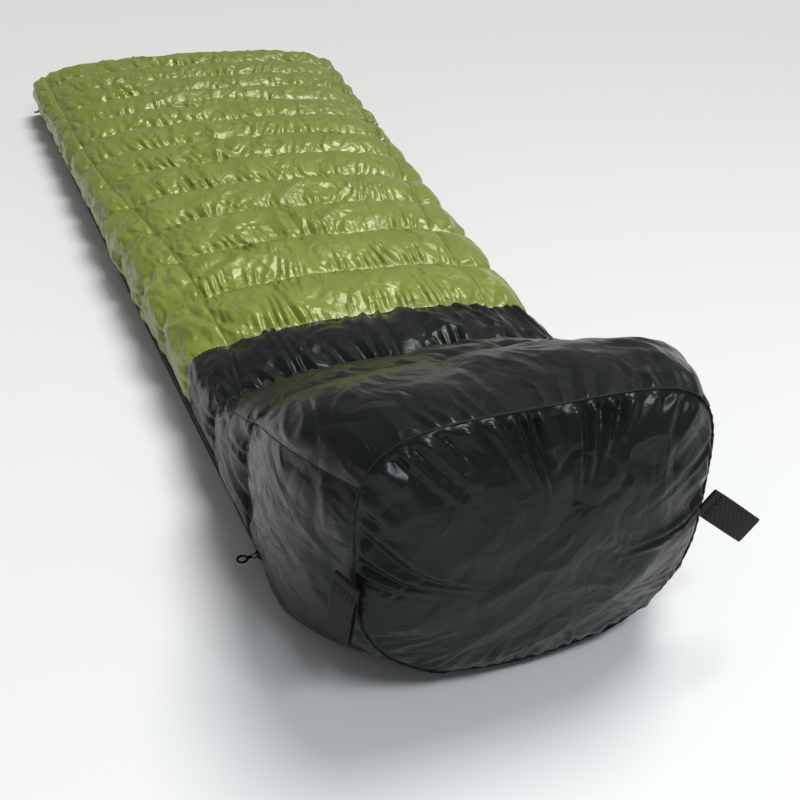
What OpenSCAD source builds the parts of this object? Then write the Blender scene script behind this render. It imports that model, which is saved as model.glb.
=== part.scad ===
// Camp quilt closed into a tube, with a sewn foot box and a two-way side zip.
// Millimetres. Z is up, Y runs from the foot end to the head end, X is across.
// The origin is under the middle of the quilt, on the surface that it lies on.

/* [Body] */
// Length of one body chamber, seam to seam
chamber_len = 125; // [90:5:150]
// Height of the body as it lies, over the chamber crowns
body_h = 125; // [105:5:170]
// Half width at the floor edge, on the zip line carried to the foot seam
edge_half_w = 154; // [135:1:180]
// How much the floor edge widens for each millimetre towards the head
edge_taper = 0.10; // [0.05:0.01:0.14]
// How far the side walls swell past the floor edge
side_swell = 14; // [6:1:30]
// How far the seams sit below the chamber crowns
seam_dip = 14; // [4:1:18]

/* [Foot box] */
// Length of the chamber next to the foot panel
foot_chamber_1 = 190; // [180:5:230]
// Length of the middle foot chamber
foot_chamber_2 = 138; // [100:2:170]
// Length of the foot chamber next to the body
foot_chamber_3 = 120; // [90:5:150]
// Height of the foot panel at its seam
foot_h = 256; // [220:2:300]
// Half width of the foot panel at the floor
foot_half_w = 118; // [105:1:125]
// How far the foot panel's sides swell past its floor edge
foot_swell = 26; // [10:1:35]
// How far the first foot chamber swells past its floor edge
box_swell = 36; // [20:1:45]
// How far the foot panel bulges out past its seam
foot_bulge = 32; // [20:1:45]
// Distance over which the foot box comes down to the height of the body
foot_slope_len = 380; // [300:10:440]

/* [Layers] */
// Thickness of the top layer's down at its middle
top_loft = 43; // [30:1:55]
// Thickness of the side walls at the floor edge
side_loft = 38; // [34:1:50]
// Thickness of the layer that is lain on
under_loft = 21; // [16:1:30]
// Thickness of the shell fabric
skin = 1.0; // [0.6:0.1:1.4]
// Thickness of the lining fabric
lining = 0.8; // [0.6:0.1:1.2]
// Thickness of the baffle netting
baffle_t = 1.0; // [0.6:0.1:1.6]
// Depth of the bound hem at the head end
hem_w = 12; // [8:1:20]

/* [Zip] */
// Distance from the foot seam to the zip's bottom stop
zip_start = 164; // [150:1:172]
// Height of the middle of the chain above the floor
zip_z = 17; // [16:0.5:20]
// Width of one zip tape
zip_tape_w = 13.2; // [12:0.2:14]
// Thickness of a zip tape
zip_tape_t = 0.8; // [0.5:0.1:1]
// Width of one row of coil
coil_w = 2.5; // [2:0.1:3]
// Thickness of the coil above its tape
coil_t = 1.6; // [1.2:0.1:2]
// Length of a slider
slider_len = 12; // [10:0.5:14]
// Place of the lower slider, from the bottom stop
lower_slider_at = 25; // [18:1:60]
// Gap left between the upper slider and the top stops
upper_slider_gap = 6; // [4:1:30]
// Outer diameter of the ring at the end of a pull
pull_ring_d = 11.5; // [10:0.5:14]
// Inner diameter of that ring
pull_ring_bore = 6.5; // [6:0.1:7]
// Length of a pull, from its pin to the middle of its ring
pull_len = 15; // [13:0.5:20]
// How far the upper pull is turned towards the foot, from straight out
upper_pull_turn = 60; // [-60:5:60]

/* [Hang loops] */
// Width of the webbing
web_w = 25; // [20:1:30]
// Thickness of the webbing
web_t = 1.3; // [1:0.1:1.8]
// Length of a loop from the seam to its fold
loop_len = 60; // [45:1:75]
// Gap between the two legs of a loop
loop_gap = 1.6; // [1.2:0.1:3]
// Height of a loop's root above the floor
loop_z = 135; // [110:1:150]
// Angle at which the right loop stands below level
right_droop = 40; // [20:1:60]
// Angle at which the left loop hangs below level
left_droop = 78; // [45:1:80]
// How far the left loop is turned back along the side
left_turn = 62; // [20:1:64]

/* [Hidden] */

green = [0.60, 0.64, 0.37];
black = [0.16, 0.18, 0.17];
down_white = [0.93, 0.92, 0.88];
net_grey = [0.55, 0.56, 0.56];
metal_grey = [0.30, 0.31, 0.32];

chamber_count = 12; // body chambers; each one's down is a node of its own
gap = 0.4; // air between two soft pieces that lie on each other
fit_gap = 0.3; // air round a piece that slides
seat_gap = 0.05; // air between two flat pieces that are sewn or clamped together
neck_w = 1.0; // width of the neck that joins a slider's plates
chain_slot = neck_w + 2 * fit_gap; // width of the slot between the two rows of coil
tape_edge_gap = 2; // air between the upper tape's edge and the side panel above it
edge_z = zip_z + chain_slot / 2 + zip_tape_w + tape_edge_gap; // height of that panel's lower edge
corner_z = 3; // height of the rounded floor edge
no_depth = 0.001; // depth of a layer that ends on the hollow itself
foot_edge = 4; // thickness of the foot panel at its seam
plan_edge = 9; // how far the flat underside stays inside the floor edge
draft_over = 12; // how much higher that edge is on its inner side, over the draft tube
tape_tail = 6; // how far the tapes run past the bottom stop
notch_gap = 2; // air between the tapes' ends and the side panel
notch_len = 12; // length over which the side panel rises clear of the end of the zip
top_steps = 12;
side_steps = 5;
dome_steps = 5;

seam_deg_foot = 22; // angle of the long seams round the section, at the foot seam
seam_deg_body = 48; // the same where the body starts
seam_deg_head = 27; // the same towards the head
seam_hold = 150; // distance over which that angle keeps its value past the foot box
seam_fall = 700; // distance over which it then falls to its value towards the head
foot_roundness = 4.6; // exponent of the section's outline at the foot seam: squarer
body_roundness = 2.7; // the same along the body: rounder
side_bend = 0.6; // share of a side panel's outline that lies above its widest line
tuck_deg = 90 / (1 - side_bend); // turn of the rest of it, for each unit of outline
puff_power = 0.7; // how steeply a chamber rises from its seams

foot_len = foot_chamber_1 + foot_chamber_2 + foot_chamber_3;
tube_len = foot_len + chamber_len * chamber_count;
seam_y = foot_bulge - (foot_bulge + tube_len + hem_w) / 2;
taper_deg = atan(edge_taper);
notch_end = zip_start - tape_tail - notch_gap;
zip_blend = notch_end - notch_len;

// Stations of the transverse seams, measured from the foot seam
foot_seams = [0, foot_chamber_1, foot_chamber_1 + foot_chamber_2, foot_len];
body_seams = [for (i = [0:chamber_count]) foot_len + i * chamber_len];

function clamp01(t) = min(1, max(0, t));
function ease(t) = (1 - cos(180 * clamp01(t))) / 2;
function mix(a, b, t) = a + (b - a) * t;

// Half width at the floor edge: a straight line along the zip that draws in towards the foot seam
function edge_w(s) = edge_half_w + edge_taper * s
    - (edge_half_w - foot_half_w) * pow(1 - clamp01(s / zip_blend), 2);
function swell(s) = s < foot_chamber_1
    ? mix(foot_swell, box_swell, ease(s / foot_chamber_1))
    : mix(box_swell, side_swell, ease((s - foot_chamber_1) / (foot_len - foot_chamber_1)));
function half_w(s) = edge_w(s) + swell(s);
function height(s) = mix(foot_h, body_h, ease(s / foot_slope_len));
function roundness(s) = mix(foot_roundness, body_roundness, ease(s / foot_slope_len));
// Angle round the section at which the long seams run
function seam_angle(s) = s < foot_len
    ? mix(seam_deg_foot, seam_deg_body, ease(s / foot_len))
    : mix(seam_deg_body, seam_deg_head, ease((s - foot_len - seam_hold) / seam_fall));
function arch(a, s) = [
    half_w(s) * pow(cos(a), 2 / roundness(s)),
    height(s) / 2 * (1 + pow(sin(a), 2 / roundness(s)))];

// The sleeping space: a flat-sided hollow that follows the taper
function hollow_w(s) = edge_w(s) - side_loft;
function hollow_top(s) = height(s) - top_loft;
// The lower edge of the left side panel rises over the zip and comes down to the floor past its end
function left_edge_z(s) = mix(corner_z, edge_z, clamp01((s - zip_blend) / notch_len));
function left_inner_z(s) = mix(under_loft, edge_z + draft_over, clamp01((s - zip_blend) / notch_len));

// Outer and inner outline of each panel, with u from 0 to 1 round the section
function side_point(u, s, low_z) = u < side_bend
    ? arch(seam_angle(s) * (1 - u / side_bend), s)
    : [mix(edge_w(s), half_w(s), cos(tuck_deg * (u - side_bend))),
       height(s) / 2 - (height(s) / 2 - low_z) * sin(tuck_deg * (u - side_bend))];
function flip(p) = [-p[0], p[1]];
function outer_point(panel, u, s) =
    panel == "top" ? (u <= 0.5
        ? arch(mix(seam_angle(s), 90, u * 2), s)
        : flip(arch(mix(90, seam_angle(s), u * 2 - 1), s)))
    : panel == "left" ? flip(side_point(u, s, left_edge_z(s)))
    : side_point(1 - u, s, corner_z);
function inner_point(panel, u, s) =
    panel == "top" ? [mix(hollow_w(s), -hollow_w(s), u), hollow_top(s)]
    : panel == "left" ? [-hollow_w(s), mix(hollow_top(s), left_inner_z(s), u)]
    : [hollow_w(s), mix(under_loft, hollow_top(s), u)];

// A point in a layer: depth is measured in from the outside, or out from the hollow where it is negative
function layer_point(panel, u, s, depth) = let (
    o = outer_point(panel, u, s),
    i = inner_point(panel, u, s),
    square_out = panel == "top" ? [0, -1] : panel == "left" ? [1, 0] : [-1, 0],
    p = depth >= 0 ? o + (i - o) / norm(i - o) * depth : i + square_out * depth)
    [p[0], s + seam_y, p[1]];

// How far a chamber's surface sits below its crown; the foot panel holds the first one's end full
function chamber_dip(t, at_foot) = at_foot && t < 0.5
    ? 0
    : seam_dip * (1 - pow(max(0, sin(180 * t)), puff_power));
function shares(steps) = [for (i = [0:steps]) i / steps];

// Closed solid between two grids of points, outer and inner, both given as rows of stations
module shell_between(outer, inner) {
    rows = len(outer);
    cols = len(outer[0]);
    base = rows * cols;
    points = concat([for (r = outer) for (p = r) p], [for (r = inner) for (p = r) p]);
    function at(i, j) = j * cols + i;
    faces = concat(
        [for (j = [0:rows - 2]) for (i = [0:cols - 2]) each [
            [at(i, j), at(i + 1, j), at(i + 1, j + 1)],
            [at(i, j), at(i + 1, j + 1), at(i, j + 1)],
            [base + at(i, j), base + at(i + 1, j + 1), base + at(i + 1, j)],
            [base + at(i, j), base + at(i, j + 1), base + at(i + 1, j + 1)]]],
        [for (i = [0:cols - 2]) each [
            [at(i, 0), base + at(i, 0), base + at(i + 1, 0)],
            [at(i, 0), base + at(i + 1, 0), at(i + 1, 0)],
            [at(i, rows - 1), base + at(i + 1, rows - 1), base + at(i, rows - 1)],
            [at(i, rows - 1), at(i + 1, rows - 1), base + at(i + 1, rows - 1)]]],
        [for (j = [0:rows - 2]) each [
            [at(0, j), base + at(0, j + 1), base + at(0, j)],
            [at(0, j), at(0, j + 1), base + at(0, j + 1)],
            [at(cols - 1, j), base + at(cols - 1, j), base + at(cols - 1, j + 1)],
            [at(cols - 1, j), base + at(cols - 1, j + 1), at(cols - 1, j + 1)]]]);
    polyhedron(points, faces);
}

// One layer of a panel between two depths; stations are [place, dip] pairs along it
module layer(panel, stations, from_depth, to_depth) {
    steps = panel == "top" ? top_steps : side_steps;
    clear = gap / 2 / (panel == "top" ? 2 * edge_half_w : body_h);
    us = [for (t = shares(steps)) mix(clear, 1 - clear, t)];
    shell_between(
        [for (q = stations) [for (u = us)
            layer_point(panel, u, q[0], from_depth >= 0 ? from_depth + q[1] : from_depth)]],
        [for (q = stations) [for (u = us)
            layer_point(panel, u, q[0], to_depth >= 0 ? to_depth + q[1] : to_depth)]]);
}

// Stations along a row of chambers, with the crown in the middle and the dip at each seam
function row_stations(seams) = [for (i = [0:len(seams) - 2]) for (t = [0, 0.25, 0.75, 1])
    if (i == 0 || t > 0) [mix(seams[i], seams[i + 1], t), chamber_dip(t, seams[i] < gap)]];
// Stations of the down in one chamber, clear of the baffle at each end
function fill_stations(from, to) = [for (t = [0, 0.25, 0.75, 1])
    [mix(from + baffle_t / 2 + gap, to - baffle_t / 2 - gap, t), chamber_dip(t, from < gap)]];
// One more station among the others, with the dip that the layer already has there
function with_station(stations, place) = [for (i = [0:len(stations) - 1]) each concat(
    [stations[i]],
    i < len(stations) - 1 && stations[i][0] < place && stations[i + 1][0] > place
        ? [[place, mix(stations[i][1], stations[i + 1][1],
            (place - stations[i][0]) / (stations[i + 1][0] - stations[i][0]))]]
        : [])];
// The foot chambers have two more stations, where the side panel clears the end of the zip
function with_notch(stations) = with_station(with_station(stations, zip_blend), notch_end);

module skin_of(panel, seams) {
    ends = [seams[0] + gap / 2, seams[len(seams) - 1] - gap / 2];
    stations = row_stations(concat([ends[0]], [for (i = [1:len(seams) - 2]) seams[i]], [ends[1]]));
    layer(panel, with_notch(stations), 0, skin);
}

module lining_of(panel, places) {
    layer(panel, with_notch([for (p = places) [p, 0]]), -lining, -no_depth);
}

module down_of(panel, from, to) {
    layer(panel, with_notch(fill_stations(from, to)), skin + gap, -lining - gap);
}

module baffle_of(panel, place) {
    layer(panel, [[place - baffle_t / 2, seam_dip], [place + baffle_t / 2, seam_dip]],
        skin + gap, -lining - gap);
}

foot_lining_places = concat([gap / 2],
    [for (i = [0:2]) for (t = [0.25, 0.75, 1]) if (i < 2 || t < 1)
        mix(foot_seams[i], foot_seams[i + 1], t)],
    [foot_len - gap / 2]);
body_lining_places = [foot_len + gap / 2, tube_len - gap / 2];

module top_shell() { color(green) skin_of("top", body_seams); }
module left_side_shell() { color(green) skin_of("left", body_seams); }
module right_side_shell() { color(green) skin_of("right", body_seams); }
module foot_top_shell() { color(black) skin_of("top", foot_seams); }
module foot_left_shell() { color(black) skin_of("left", foot_seams); }
module foot_right_shell() { color(black) skin_of("right", foot_seams); }

module top_lining() { color(black) lining_of("top", body_lining_places); }
module left_lining() { color(black) lining_of("left", body_lining_places); }
module right_lining() { color(black) lining_of("right", body_lining_places); }
module foot_top_lining() { color(black) lining_of("top", foot_lining_places); }
module foot_left_lining() { color(black) lining_of("left", foot_lining_places); }
module foot_right_lining() { color(black) lining_of("right", foot_lining_places); }

// The layer that is lain on is flat: its outline in plan follows the floor edge
module plan(from, to, inset) {
    bends = [foot_chamber_1 * 0.25, foot_chamber_1 * 0.75, zip_blend];
    places = concat([from], [for (p = bends) if (p > from && p < to) p], [to]);
    polygon(concat(
        [for (p = places) [edge_w(p) - inset, p + seam_y]],
        [for (i = [len(places) - 1:-1:0]) [-edge_w(places[i]) + inset, places[i] + seam_y]]));
}

module under_shell() {
    color(black) linear_extrude(skin) plan(gap / 2, tube_len - gap / 2, plan_edge);
}

module under_lining() {
    color(black) translate([0, 0, under_loft - lining])
        linear_extrude(lining) plan(gap / 2, tube_len - gap / 2, side_loft + gap);
}

all_seams = concat(foot_seams, [for (i = [1:chamber_count]) body_seams[i]]);

module under_down() {
    color(down_white) for (i = [0:len(all_seams) - 2])
        translate([0, 0, skin + gap])
            linear_extrude(under_loft - skin - lining - 2 * gap)
                plan(all_seams[i] + baffle_t / 2 + gap, all_seams[i + 1] - baffle_t / 2 - gap,
                    side_loft + gap);
}

module under_baffles() {
    color(net_grey) for (i = [1:len(all_seams) - 2])
        translate([0, 0, skin + gap])
            linear_extrude(under_loft - skin - lining - 2 * gap)
                plan(all_seams[i] - baffle_t / 2, all_seams[i] + baffle_t / 2, side_loft + gap);
}

module top_down(i) { color(down_white) down_of("top", body_seams[i - 1], body_seams[i]); }

module foot_down(i) { color(down_white) down_of("top", foot_seams[i - 1], foot_seams[i]); }

module side_down(panel) {
    color(down_white) for (i = [0:len(all_seams) - 2]) down_of(panel, all_seams[i], all_seams[i + 1]);
}

module left_side_down() { side_down("left"); }
module right_side_down() { side_down("right"); }

module baffles(panel) {
    color(net_grey) for (i = [1:len(all_seams) - 2]) baffle_of(panel, all_seams[i]);
}

module top_baffles() { baffles("top"); }
module left_baffles() { baffles("left"); }
module right_baffles() { baffles("right"); }

// The foot panel: a dome over the outline of the foot seam, flat on its inner side
dome_low = 0.6; // height of the foot panel's lower edge
dome_peak_share = 0.47; // height of the dome's peak, as a share of the panel's
dome_flat = 0.25; // share of the outline at which the dome's flat middle starts
dome_spread = 0.7; // how the dome's rings crowd towards its rim
fill_share = 0.95; // size of the fill and the lining, as a share of the outline
tape_outer_share = 0.99; // the same for the seam tape's outer edge
tape_inner_share = 0.96; // the same for its inner edge
foot_rim = concat(
    [for (u = shares(top_steps)) outer_point("top", u, 0)],
    [for (i = [1:side_steps]) outer_point("left", i / side_steps, 0)],
    [[-foot_half_w + plan_edge, dome_low], [foot_half_w - plan_edge, dome_low]],
    [for (i = [0:side_steps - 1]) outer_point("right", i / side_steps, 0)]);
foot_mid = [0, foot_h * dome_peak_share];

function dome_y(k) = foot_edge + (foot_bulge - foot_edge) * (1 - pow(k, 3));
function dome_ring(k, y) = [for (p = foot_rim)
    [mix(foot_mid[0], p[0], k), seam_y - y, mix(foot_mid[1], p[1], k)]];

module rim_stack(rings) {
    n = len(rings[0]);
    last = len(rings) - 1;
    faces = concat(
        [[for (i = [n - 1:-1:0]) i]],
        [for (j = [0:last - 1]) for (i = [0:n - 1]) each [
            [j * n + i, j * n + (i + 1) % n, (j + 1) * n + (i + 1) % n],
            [j * n + i, (j + 1) * n + (i + 1) % n, (j + 1) * n + i]]],
        [[for (i = [0:n - 1]) last * n + i]]);
    polyhedron([for (r = rings) for (p = r) p], faces);
}

dome_shares = [for (i = [0:dome_steps - 1])
    mix(dome_flat, 1, pow(i / (dome_steps - 1), dome_spread))];

module foot_panel_shell() {
    color(black) rim_stack(concat(
        [for (k = dome_shares) dome_ring(k, dome_y(k))],
        [for (i = [dome_steps - 1:-1:0]) dome_ring(dome_shares[i], dome_y(dome_shares[i]) - skin)]));
}

module foot_panel_down() {
    color(down_white) rim_stack(concat(
        [for (k = dome_shares) dome_ring(k * fill_share, dome_y(k) - skin - gap)],
        [dome_ring(fill_share, lining + 2 * gap)]));
}

module foot_panel_lining() {
    color(black) rim_stack([dome_ring(fill_share, lining + gap), dome_ring(fill_share, gap)]);
}

module foot_seam_tape() {
    color(black) difference() {
        rim_stack([dome_ring(tape_outer_share, foot_edge - skin - gap),
            dome_ring(tape_outer_share, gap)]);
        rim_stack([dome_ring(tape_inner_share, foot_edge), dome_ring(tape_inner_share, -1)]);
    }
}

// The hem closes the end of every layer at the head
hem_lift = 1; // height of its underside above the floor
module head_hem() {
    ends = [[tube_len + gap, seam_dip], [tube_len + hem_w, seam_dip]];
    color(black) {
        for (panel = ["top", "left", "right"]) layer(panel, ends, 0, -no_depth);
        translate([0, 0, hem_lift]) linear_extrude(under_loft - hem_lift)
            plan(tube_len + gap, tube_len + hem_w, side_loft + gap);
    }
}

// The draft tube lies behind the zip, from the bottom stop to the head
module beside_zip(from, to) {
    translate([-edge_w(from), from + seam_y, 0]) rotate([0, 0, taper_deg])
        rotate([90, 0, 180]) linear_extrude((to - from) / cos(taper_deg)) children();
}

draft_end = tube_len - gap;
draft_clear = 1.5; // air between the draft tube and the hollow
draft_low = 2; // height of its underside above the floor
draft_outline = [[-0.5, corner_z], [-0.5, edge_z - 1], [-side_loft / 2, edge_z + 6],
    [-side_loft + draft_clear, edge_z + draft_over - 2 * draft_clear],
    [-side_loft + draft_clear, draft_low], [-plan_edge - 1, draft_low]];

module draft_tube_shell() {
    color(black) beside_zip(zip_start + 1, draft_end) difference() {
        polygon(draft_outline);
        offset(delta = -skin) polygon(draft_outline);
    }
}

module draft_tube_down() {
    color(down_white) beside_zip(zip_start + 2, draft_end - 1)
        offset(delta = -skin - gap) polygon(draft_outline);
}

// Depths of the zip's layers, out from the floor edge
plate_t = 1.2; // thickness of a slider's back plate
front_t = 1.4; // thickness of its front plate
flange_t = 1.2; // thickness of its flanges
back_plate = [0.5, 0.5 + plate_t];
tape_in = back_plate[1] + fit_gap;
tape_out = tape_in + zip_tape_t;
coil_out = tape_out + coil_t;
front_plate = [coil_out + fit_gap, coil_out + fit_gap + front_t];
crown_hole = 1.8; // height of the hole under a slider's crown, for the pull's pin
crown_t = 1.0; // thickness of the crown
crown_half = 1.5; // half the crown's width
crown_reach = 5; // half the crown's length
post_len = 2; // length of each of the crown's two posts
join = 0.1; // how far two parts of one piece run into each other
slider_w = chain_slot + 2 * (coil_w + fit_gap + flange_t);
stop_len = 4; // length of the bottom stop
top_stop_len = 3; // length of a top stop
stop_rise = 0.4; // how far the stops stand out past the coil
tape_short = 4; // how far they end short of the hem
facing_edge = 1; // air between the facing and the slider's side
coil_start = zip_start + stop_len + fit_gap;
top_stop_at = tube_len - 10 - tape_short;
coil_end = top_stop_at - fit_gap;
lower_at = zip_start + lower_slider_at;
upper_at = coil_end - upper_slider_gap - slider_len / 2;
pin_out = front_plate[1] + crown_hole / 2;

// A box beside the zip: out and in from the floor edge, and up from the middle of the chain
module zip_bar(from, to, depth, rise) {
    beside_zip(from, to) translate([depth[0], zip_z + rise[0]])
        square([depth[1] - depth[0], rise[1] - rise[0]]);
}

// The stretch of height between two distances from the middle of the chain, on one side of it
function beside(side, near, far) = side > 0 ? [near, far] : [-far, -near];

module zip_tape(side) {
    zip_bar(zip_start - tape_tail, tube_len - tape_short, [tape_in, tape_out],
        beside(side, chain_slot / 2, chain_slot / 2 + zip_tape_w));
}

module zip_coil(side) {
    zip_bar(coil_start, coil_end, [tape_out + seat_gap, coil_out],
        beside(side, chain_slot / 2, chain_slot / 2 + coil_w));
}

module zip_facing(side) {
    zip_bar(zip_start + 1, tube_len - tape_short - 1, [2 * seat_gap, tape_in - seat_gap],
        beside(side, slider_w / 2 + facing_edge, chain_slot / 2 + zip_tape_w));
}

module upper_zip_tape() { color(black) zip_tape(1); }
module lower_zip_tape() { color(black) zip_tape(-1); }
module upper_zip_coil() { color(black) zip_coil(1); }
module lower_zip_coil() { color(black) zip_coil(-1); }
module upper_zip_facing() { color(black) zip_facing(1); }
module lower_zip_facing() { color(black) zip_facing(-1); }

module zip_bottom_stop() {
    half = chain_slot / 2 + coil_w;
    color(metal_grey) zip_bar(zip_start, zip_start + stop_len,
        [tape_out + seat_gap, coil_out + stop_rise], [-half, half]);
}

module zip_top_stops() {
    color(metal_grey) for (side = [-1, 1])
        zip_bar(top_stop_at, top_stop_at + top_stop_len, [tape_out + seat_gap, coil_out + stop_rise],
            beside(side, chain_slot / 2, chain_slot / 2 + coil_w));
}

// Slider: two plates joined by a neck between the coil rows, flanges round the coil, a crown for the pull
module slider(at) {
    half = slider_w / 2;
    from = at - slider_len / 2;
    to = at + slider_len / 2;
    flange = chain_slot / 2 + coil_w + fit_gap;
    crown_in = front_plate[1] + crown_hole;
    color(metal_grey) {
        zip_bar(from, to, back_plate, [-half, half]);
        zip_bar(from, to, front_plate, [-half, half]);
        zip_bar(from, to, [back_plate[1] - join, front_plate[0] + join], [-neck_w / 2, neck_w / 2]);
        for (side = [-1, 1])
            zip_bar(from, to, [tape_out + fit_gap, front_plate[0] + join], beside(side, flange, half));
        for (post = [at - crown_reach, at + crown_reach - post_len])
            zip_bar(post, post + post_len, [front_plate[1] - join, crown_in + join],
                [-crown_half, crown_half]);
        zip_bar(at - crown_reach, at + crown_reach, [crown_in, crown_in + crown_t],
            [-crown_half, crown_half]);
    }
}

module lower_slider() { slider(lower_at); }
module upper_slider() { slider(upper_at); }

// Pull: a pin under the crown, two cheeks beside it, a stem and a ring; it points along +X here
module pull() {
    cheek_in = crown_half + 0.4;
    cheek_out = cheek_in + 1;
    cheek_half = 0.7;
    pin_r = 0.65;
    joined = 6;
    bridge_t = 1.2;
    stem_half = 1.3;
    ring_t = 1.6;
    color(metal_grey) difference() {
        union() {
            translate([0, 0, -cheek_out]) cylinder(r = pin_r, h = 2 * cheek_out, $fn = 24);
            for (side = [-1, 1])
                translate([-cheek_half + 0.2, -cheek_half, side > 0 ? cheek_in : -cheek_out])
                    cube([joined + cheek_half, 2 * cheek_half, cheek_out - cheek_in]);
            translate([joined, -cheek_half, -cheek_out])
                cube([bridge_t, 2 * cheek_half, 2 * cheek_out]);
            translate([joined + bridge_t / 2, -stem_half, -ring_t / 2])
                cube([pull_len - joined - pull_ring_bore / 2 - 1, 2 * stem_half, ring_t]);
            translate([pull_len, 0, -ring_t / 2]) cylinder(d = pull_ring_d, h = ring_t, $fn = 48);
        }
        translate([pull_len, 0, -ring_t]) cylinder(d = pull_ring_bore, h = 2 * ring_t, $fn = 48);
    }
}

// The pull's pin stands on the slider's crown; turn is 0 where it points straight out
module pull_at(at, turn) {
    translate([-edge_w(at), at + seam_y, zip_z]) rotate([0, 0, taper_deg])
        translate([-pin_out, 0, 0]) rotate([0, 0, 180 + turn]) pull();
}

module lower_pull() { pull_at(lower_at, 0); }
module upper_pull() { pull_at(upper_at, upper_pull_turn); }

// Hang loop: webbing folded back on itself, standing along +X from its root edge on the Z axis
root_share = 0.85; // the loop is drawn in a little where it is sewn into the seam
sewn_len = 9; // length over which its two legs are sewn to each other
module hang_loop(droop) {
    dir = [cos(droop), -sin(droop)];
    across = [sin(droop), cos(droop)];
    thick = 2 * web_t + loop_gap;
    root = web_w / 2 / cos(droop) * root_share;
    tip = dir * loop_len;
    legs_from = sewn_len / loop_len;
    legs_to = 1 - web_t / loop_len;
    high = [for (t = [0, 1]) mix([0, root], tip + across * web_w / 2, t)];
    low = [for (t = [0, 1]) mix([0, -root], tip - across * web_w / 2, t)];
    stretch = 3 * web_w / loop_len;
    color(black) rotate([90, 0, 0]) difference() {
        translate([0, 0, -thick / 2]) linear_extrude(thick)
            polygon([low[0], low[1], high[1], high[0]]);
        translate([0, 0, -loop_gap / 2]) linear_extrude(loop_gap) polygon(concat(
            [for (t = [legs_from, legs_to]) mix(low[0], low[1], t) - across * stretch],
            [for (t = [legs_to, legs_from]) mix(high[0], high[1], t) + across * stretch]));
    }
}

loop_x = half_w(0) + web_t + loop_gap / 2 + gap;
loop_y = seam_y - foot_edge / 2 - 1;

module right_hang_loop() { translate([loop_x, loop_y, loop_z]) hang_loop(right_droop); }
module left_hang_loop() {
    translate([-loop_x, loop_y, loop_z]) rotate([0, 0, 180 - left_turn]) hang_loop(left_droop);
}

top_shell();
left_side_shell();
right_side_shell();
under_shell();
foot_top_shell();
foot_left_shell();
foot_right_shell();
foot_panel_shell();
top_lining();
left_lining();
right_lining();
under_lining();
foot_top_lining();
foot_left_lining();
foot_right_lining();
foot_panel_lining();
top_down(1);  // top_down_01
top_down(2);  // top_down_02
top_down(3);  // top_down_03
top_down(4);  // top_down_04
top_down(5);  // top_down_05
top_down(6);  // top_down_06
top_down(7);  // top_down_07
top_down(8);  // top_down_08
top_down(9);  // top_down_09
top_down(10);  // top_down_10
top_down(11);  // top_down_11
top_down(12);  // top_down_12
foot_down(1);  // foot_down_1
foot_down(2);  // foot_down_2
foot_down(3);  // foot_down_3
left_side_down();
right_side_down();
under_down();
foot_panel_down();
top_baffles();
left_baffles();
right_baffles();
under_baffles();
foot_seam_tape();
head_hem();
draft_tube_shell();
draft_tube_down();
upper_zip_facing();
lower_zip_facing();
upper_zip_tape();
lower_zip_tape();
upper_zip_coil();
lower_zip_coil();
zip_bottom_stop();
zip_top_stops();
lower_slider();
lower_pull();
upper_slider();
upper_pull();
left_hang_loop();
right_hang_loop();
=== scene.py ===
import math
import time

import bmesh
import bpy
import numpy as np
from mathutils import Matrix, Vector


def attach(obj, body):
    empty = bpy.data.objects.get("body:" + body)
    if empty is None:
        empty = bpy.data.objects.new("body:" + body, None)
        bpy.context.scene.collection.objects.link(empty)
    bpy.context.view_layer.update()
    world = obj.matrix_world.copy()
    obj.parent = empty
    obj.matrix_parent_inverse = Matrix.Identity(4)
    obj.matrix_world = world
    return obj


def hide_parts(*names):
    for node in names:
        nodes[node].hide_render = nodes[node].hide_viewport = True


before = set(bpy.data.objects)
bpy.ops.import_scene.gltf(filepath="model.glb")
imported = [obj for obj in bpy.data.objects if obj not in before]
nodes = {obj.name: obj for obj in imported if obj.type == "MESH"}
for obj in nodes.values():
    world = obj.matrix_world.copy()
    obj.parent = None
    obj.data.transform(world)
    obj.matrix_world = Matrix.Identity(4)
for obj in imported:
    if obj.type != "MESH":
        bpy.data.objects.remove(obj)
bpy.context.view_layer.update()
startTime = time.time()


def report(stage):
    print(f"[quilt {time.time() - startTime:5.1f} s] {stage}")


# --- sizes of the quilt, in metres; s runs from the foot seam towards the head
quilt = {
    "chamberLen": 0.125,
    "chambers": 12,
    "bodyHeight": 0.125,
    "edgeHalf": 0.154,
    "edgeTaper": 0.10,
    "sideSwell": 0.014,
    "seamDip": 0.014,
    "footChambers": (0.190, 0.138, 0.120),
    "footHeight": 0.256,
    "footHalf": 0.118,
    "footSwell": 0.026,
    "boxSwell": 0.036,
    "footBulge": 0.032,
    "slopeLen": 0.380,
    "topLoft": 0.043,
    "sideLoft": 0.038,
    "underLoft": 0.021,
    "hem": 0.012,
    "zipStart": 0.164,
    "zipBlend": 0.144,
    "zipHeight": 0.017,
    "panelEdge": 0.033,
    "zipSideSwell": 0.35,
    "floorEdge": 0.003,
    "archPowers": (4.6, 2.7),
    "seamTurns": (22, 48, 27),
    "bodyTurn": (0.15, 0.7),
    "firstRow": 0.0002,
    "lowest": 0.0012,
}
footLen = sum(quilt["footChambers"])
tubeLen = footLen + quilt["chamberLen"] * quilt["chambers"]
seamY = quilt["footBulge"] - (quilt["footBulge"] + tubeLen + quilt["hem"]) / 2
taper = math.atan(quilt["edgeTaper"])
footSeams = np.concatenate([[0], np.cumsum(quilt["footChambers"])])
bodySeams = footLen + quilt["chamberLen"] * np.arange(quilt["chambers"] + 1)


def mix(a, b, t):
    return a + (b - a) * t


def ease(t):
    return (1 - np.cos(np.pi * np.clip(t, 0, 1))) / 2


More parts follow.
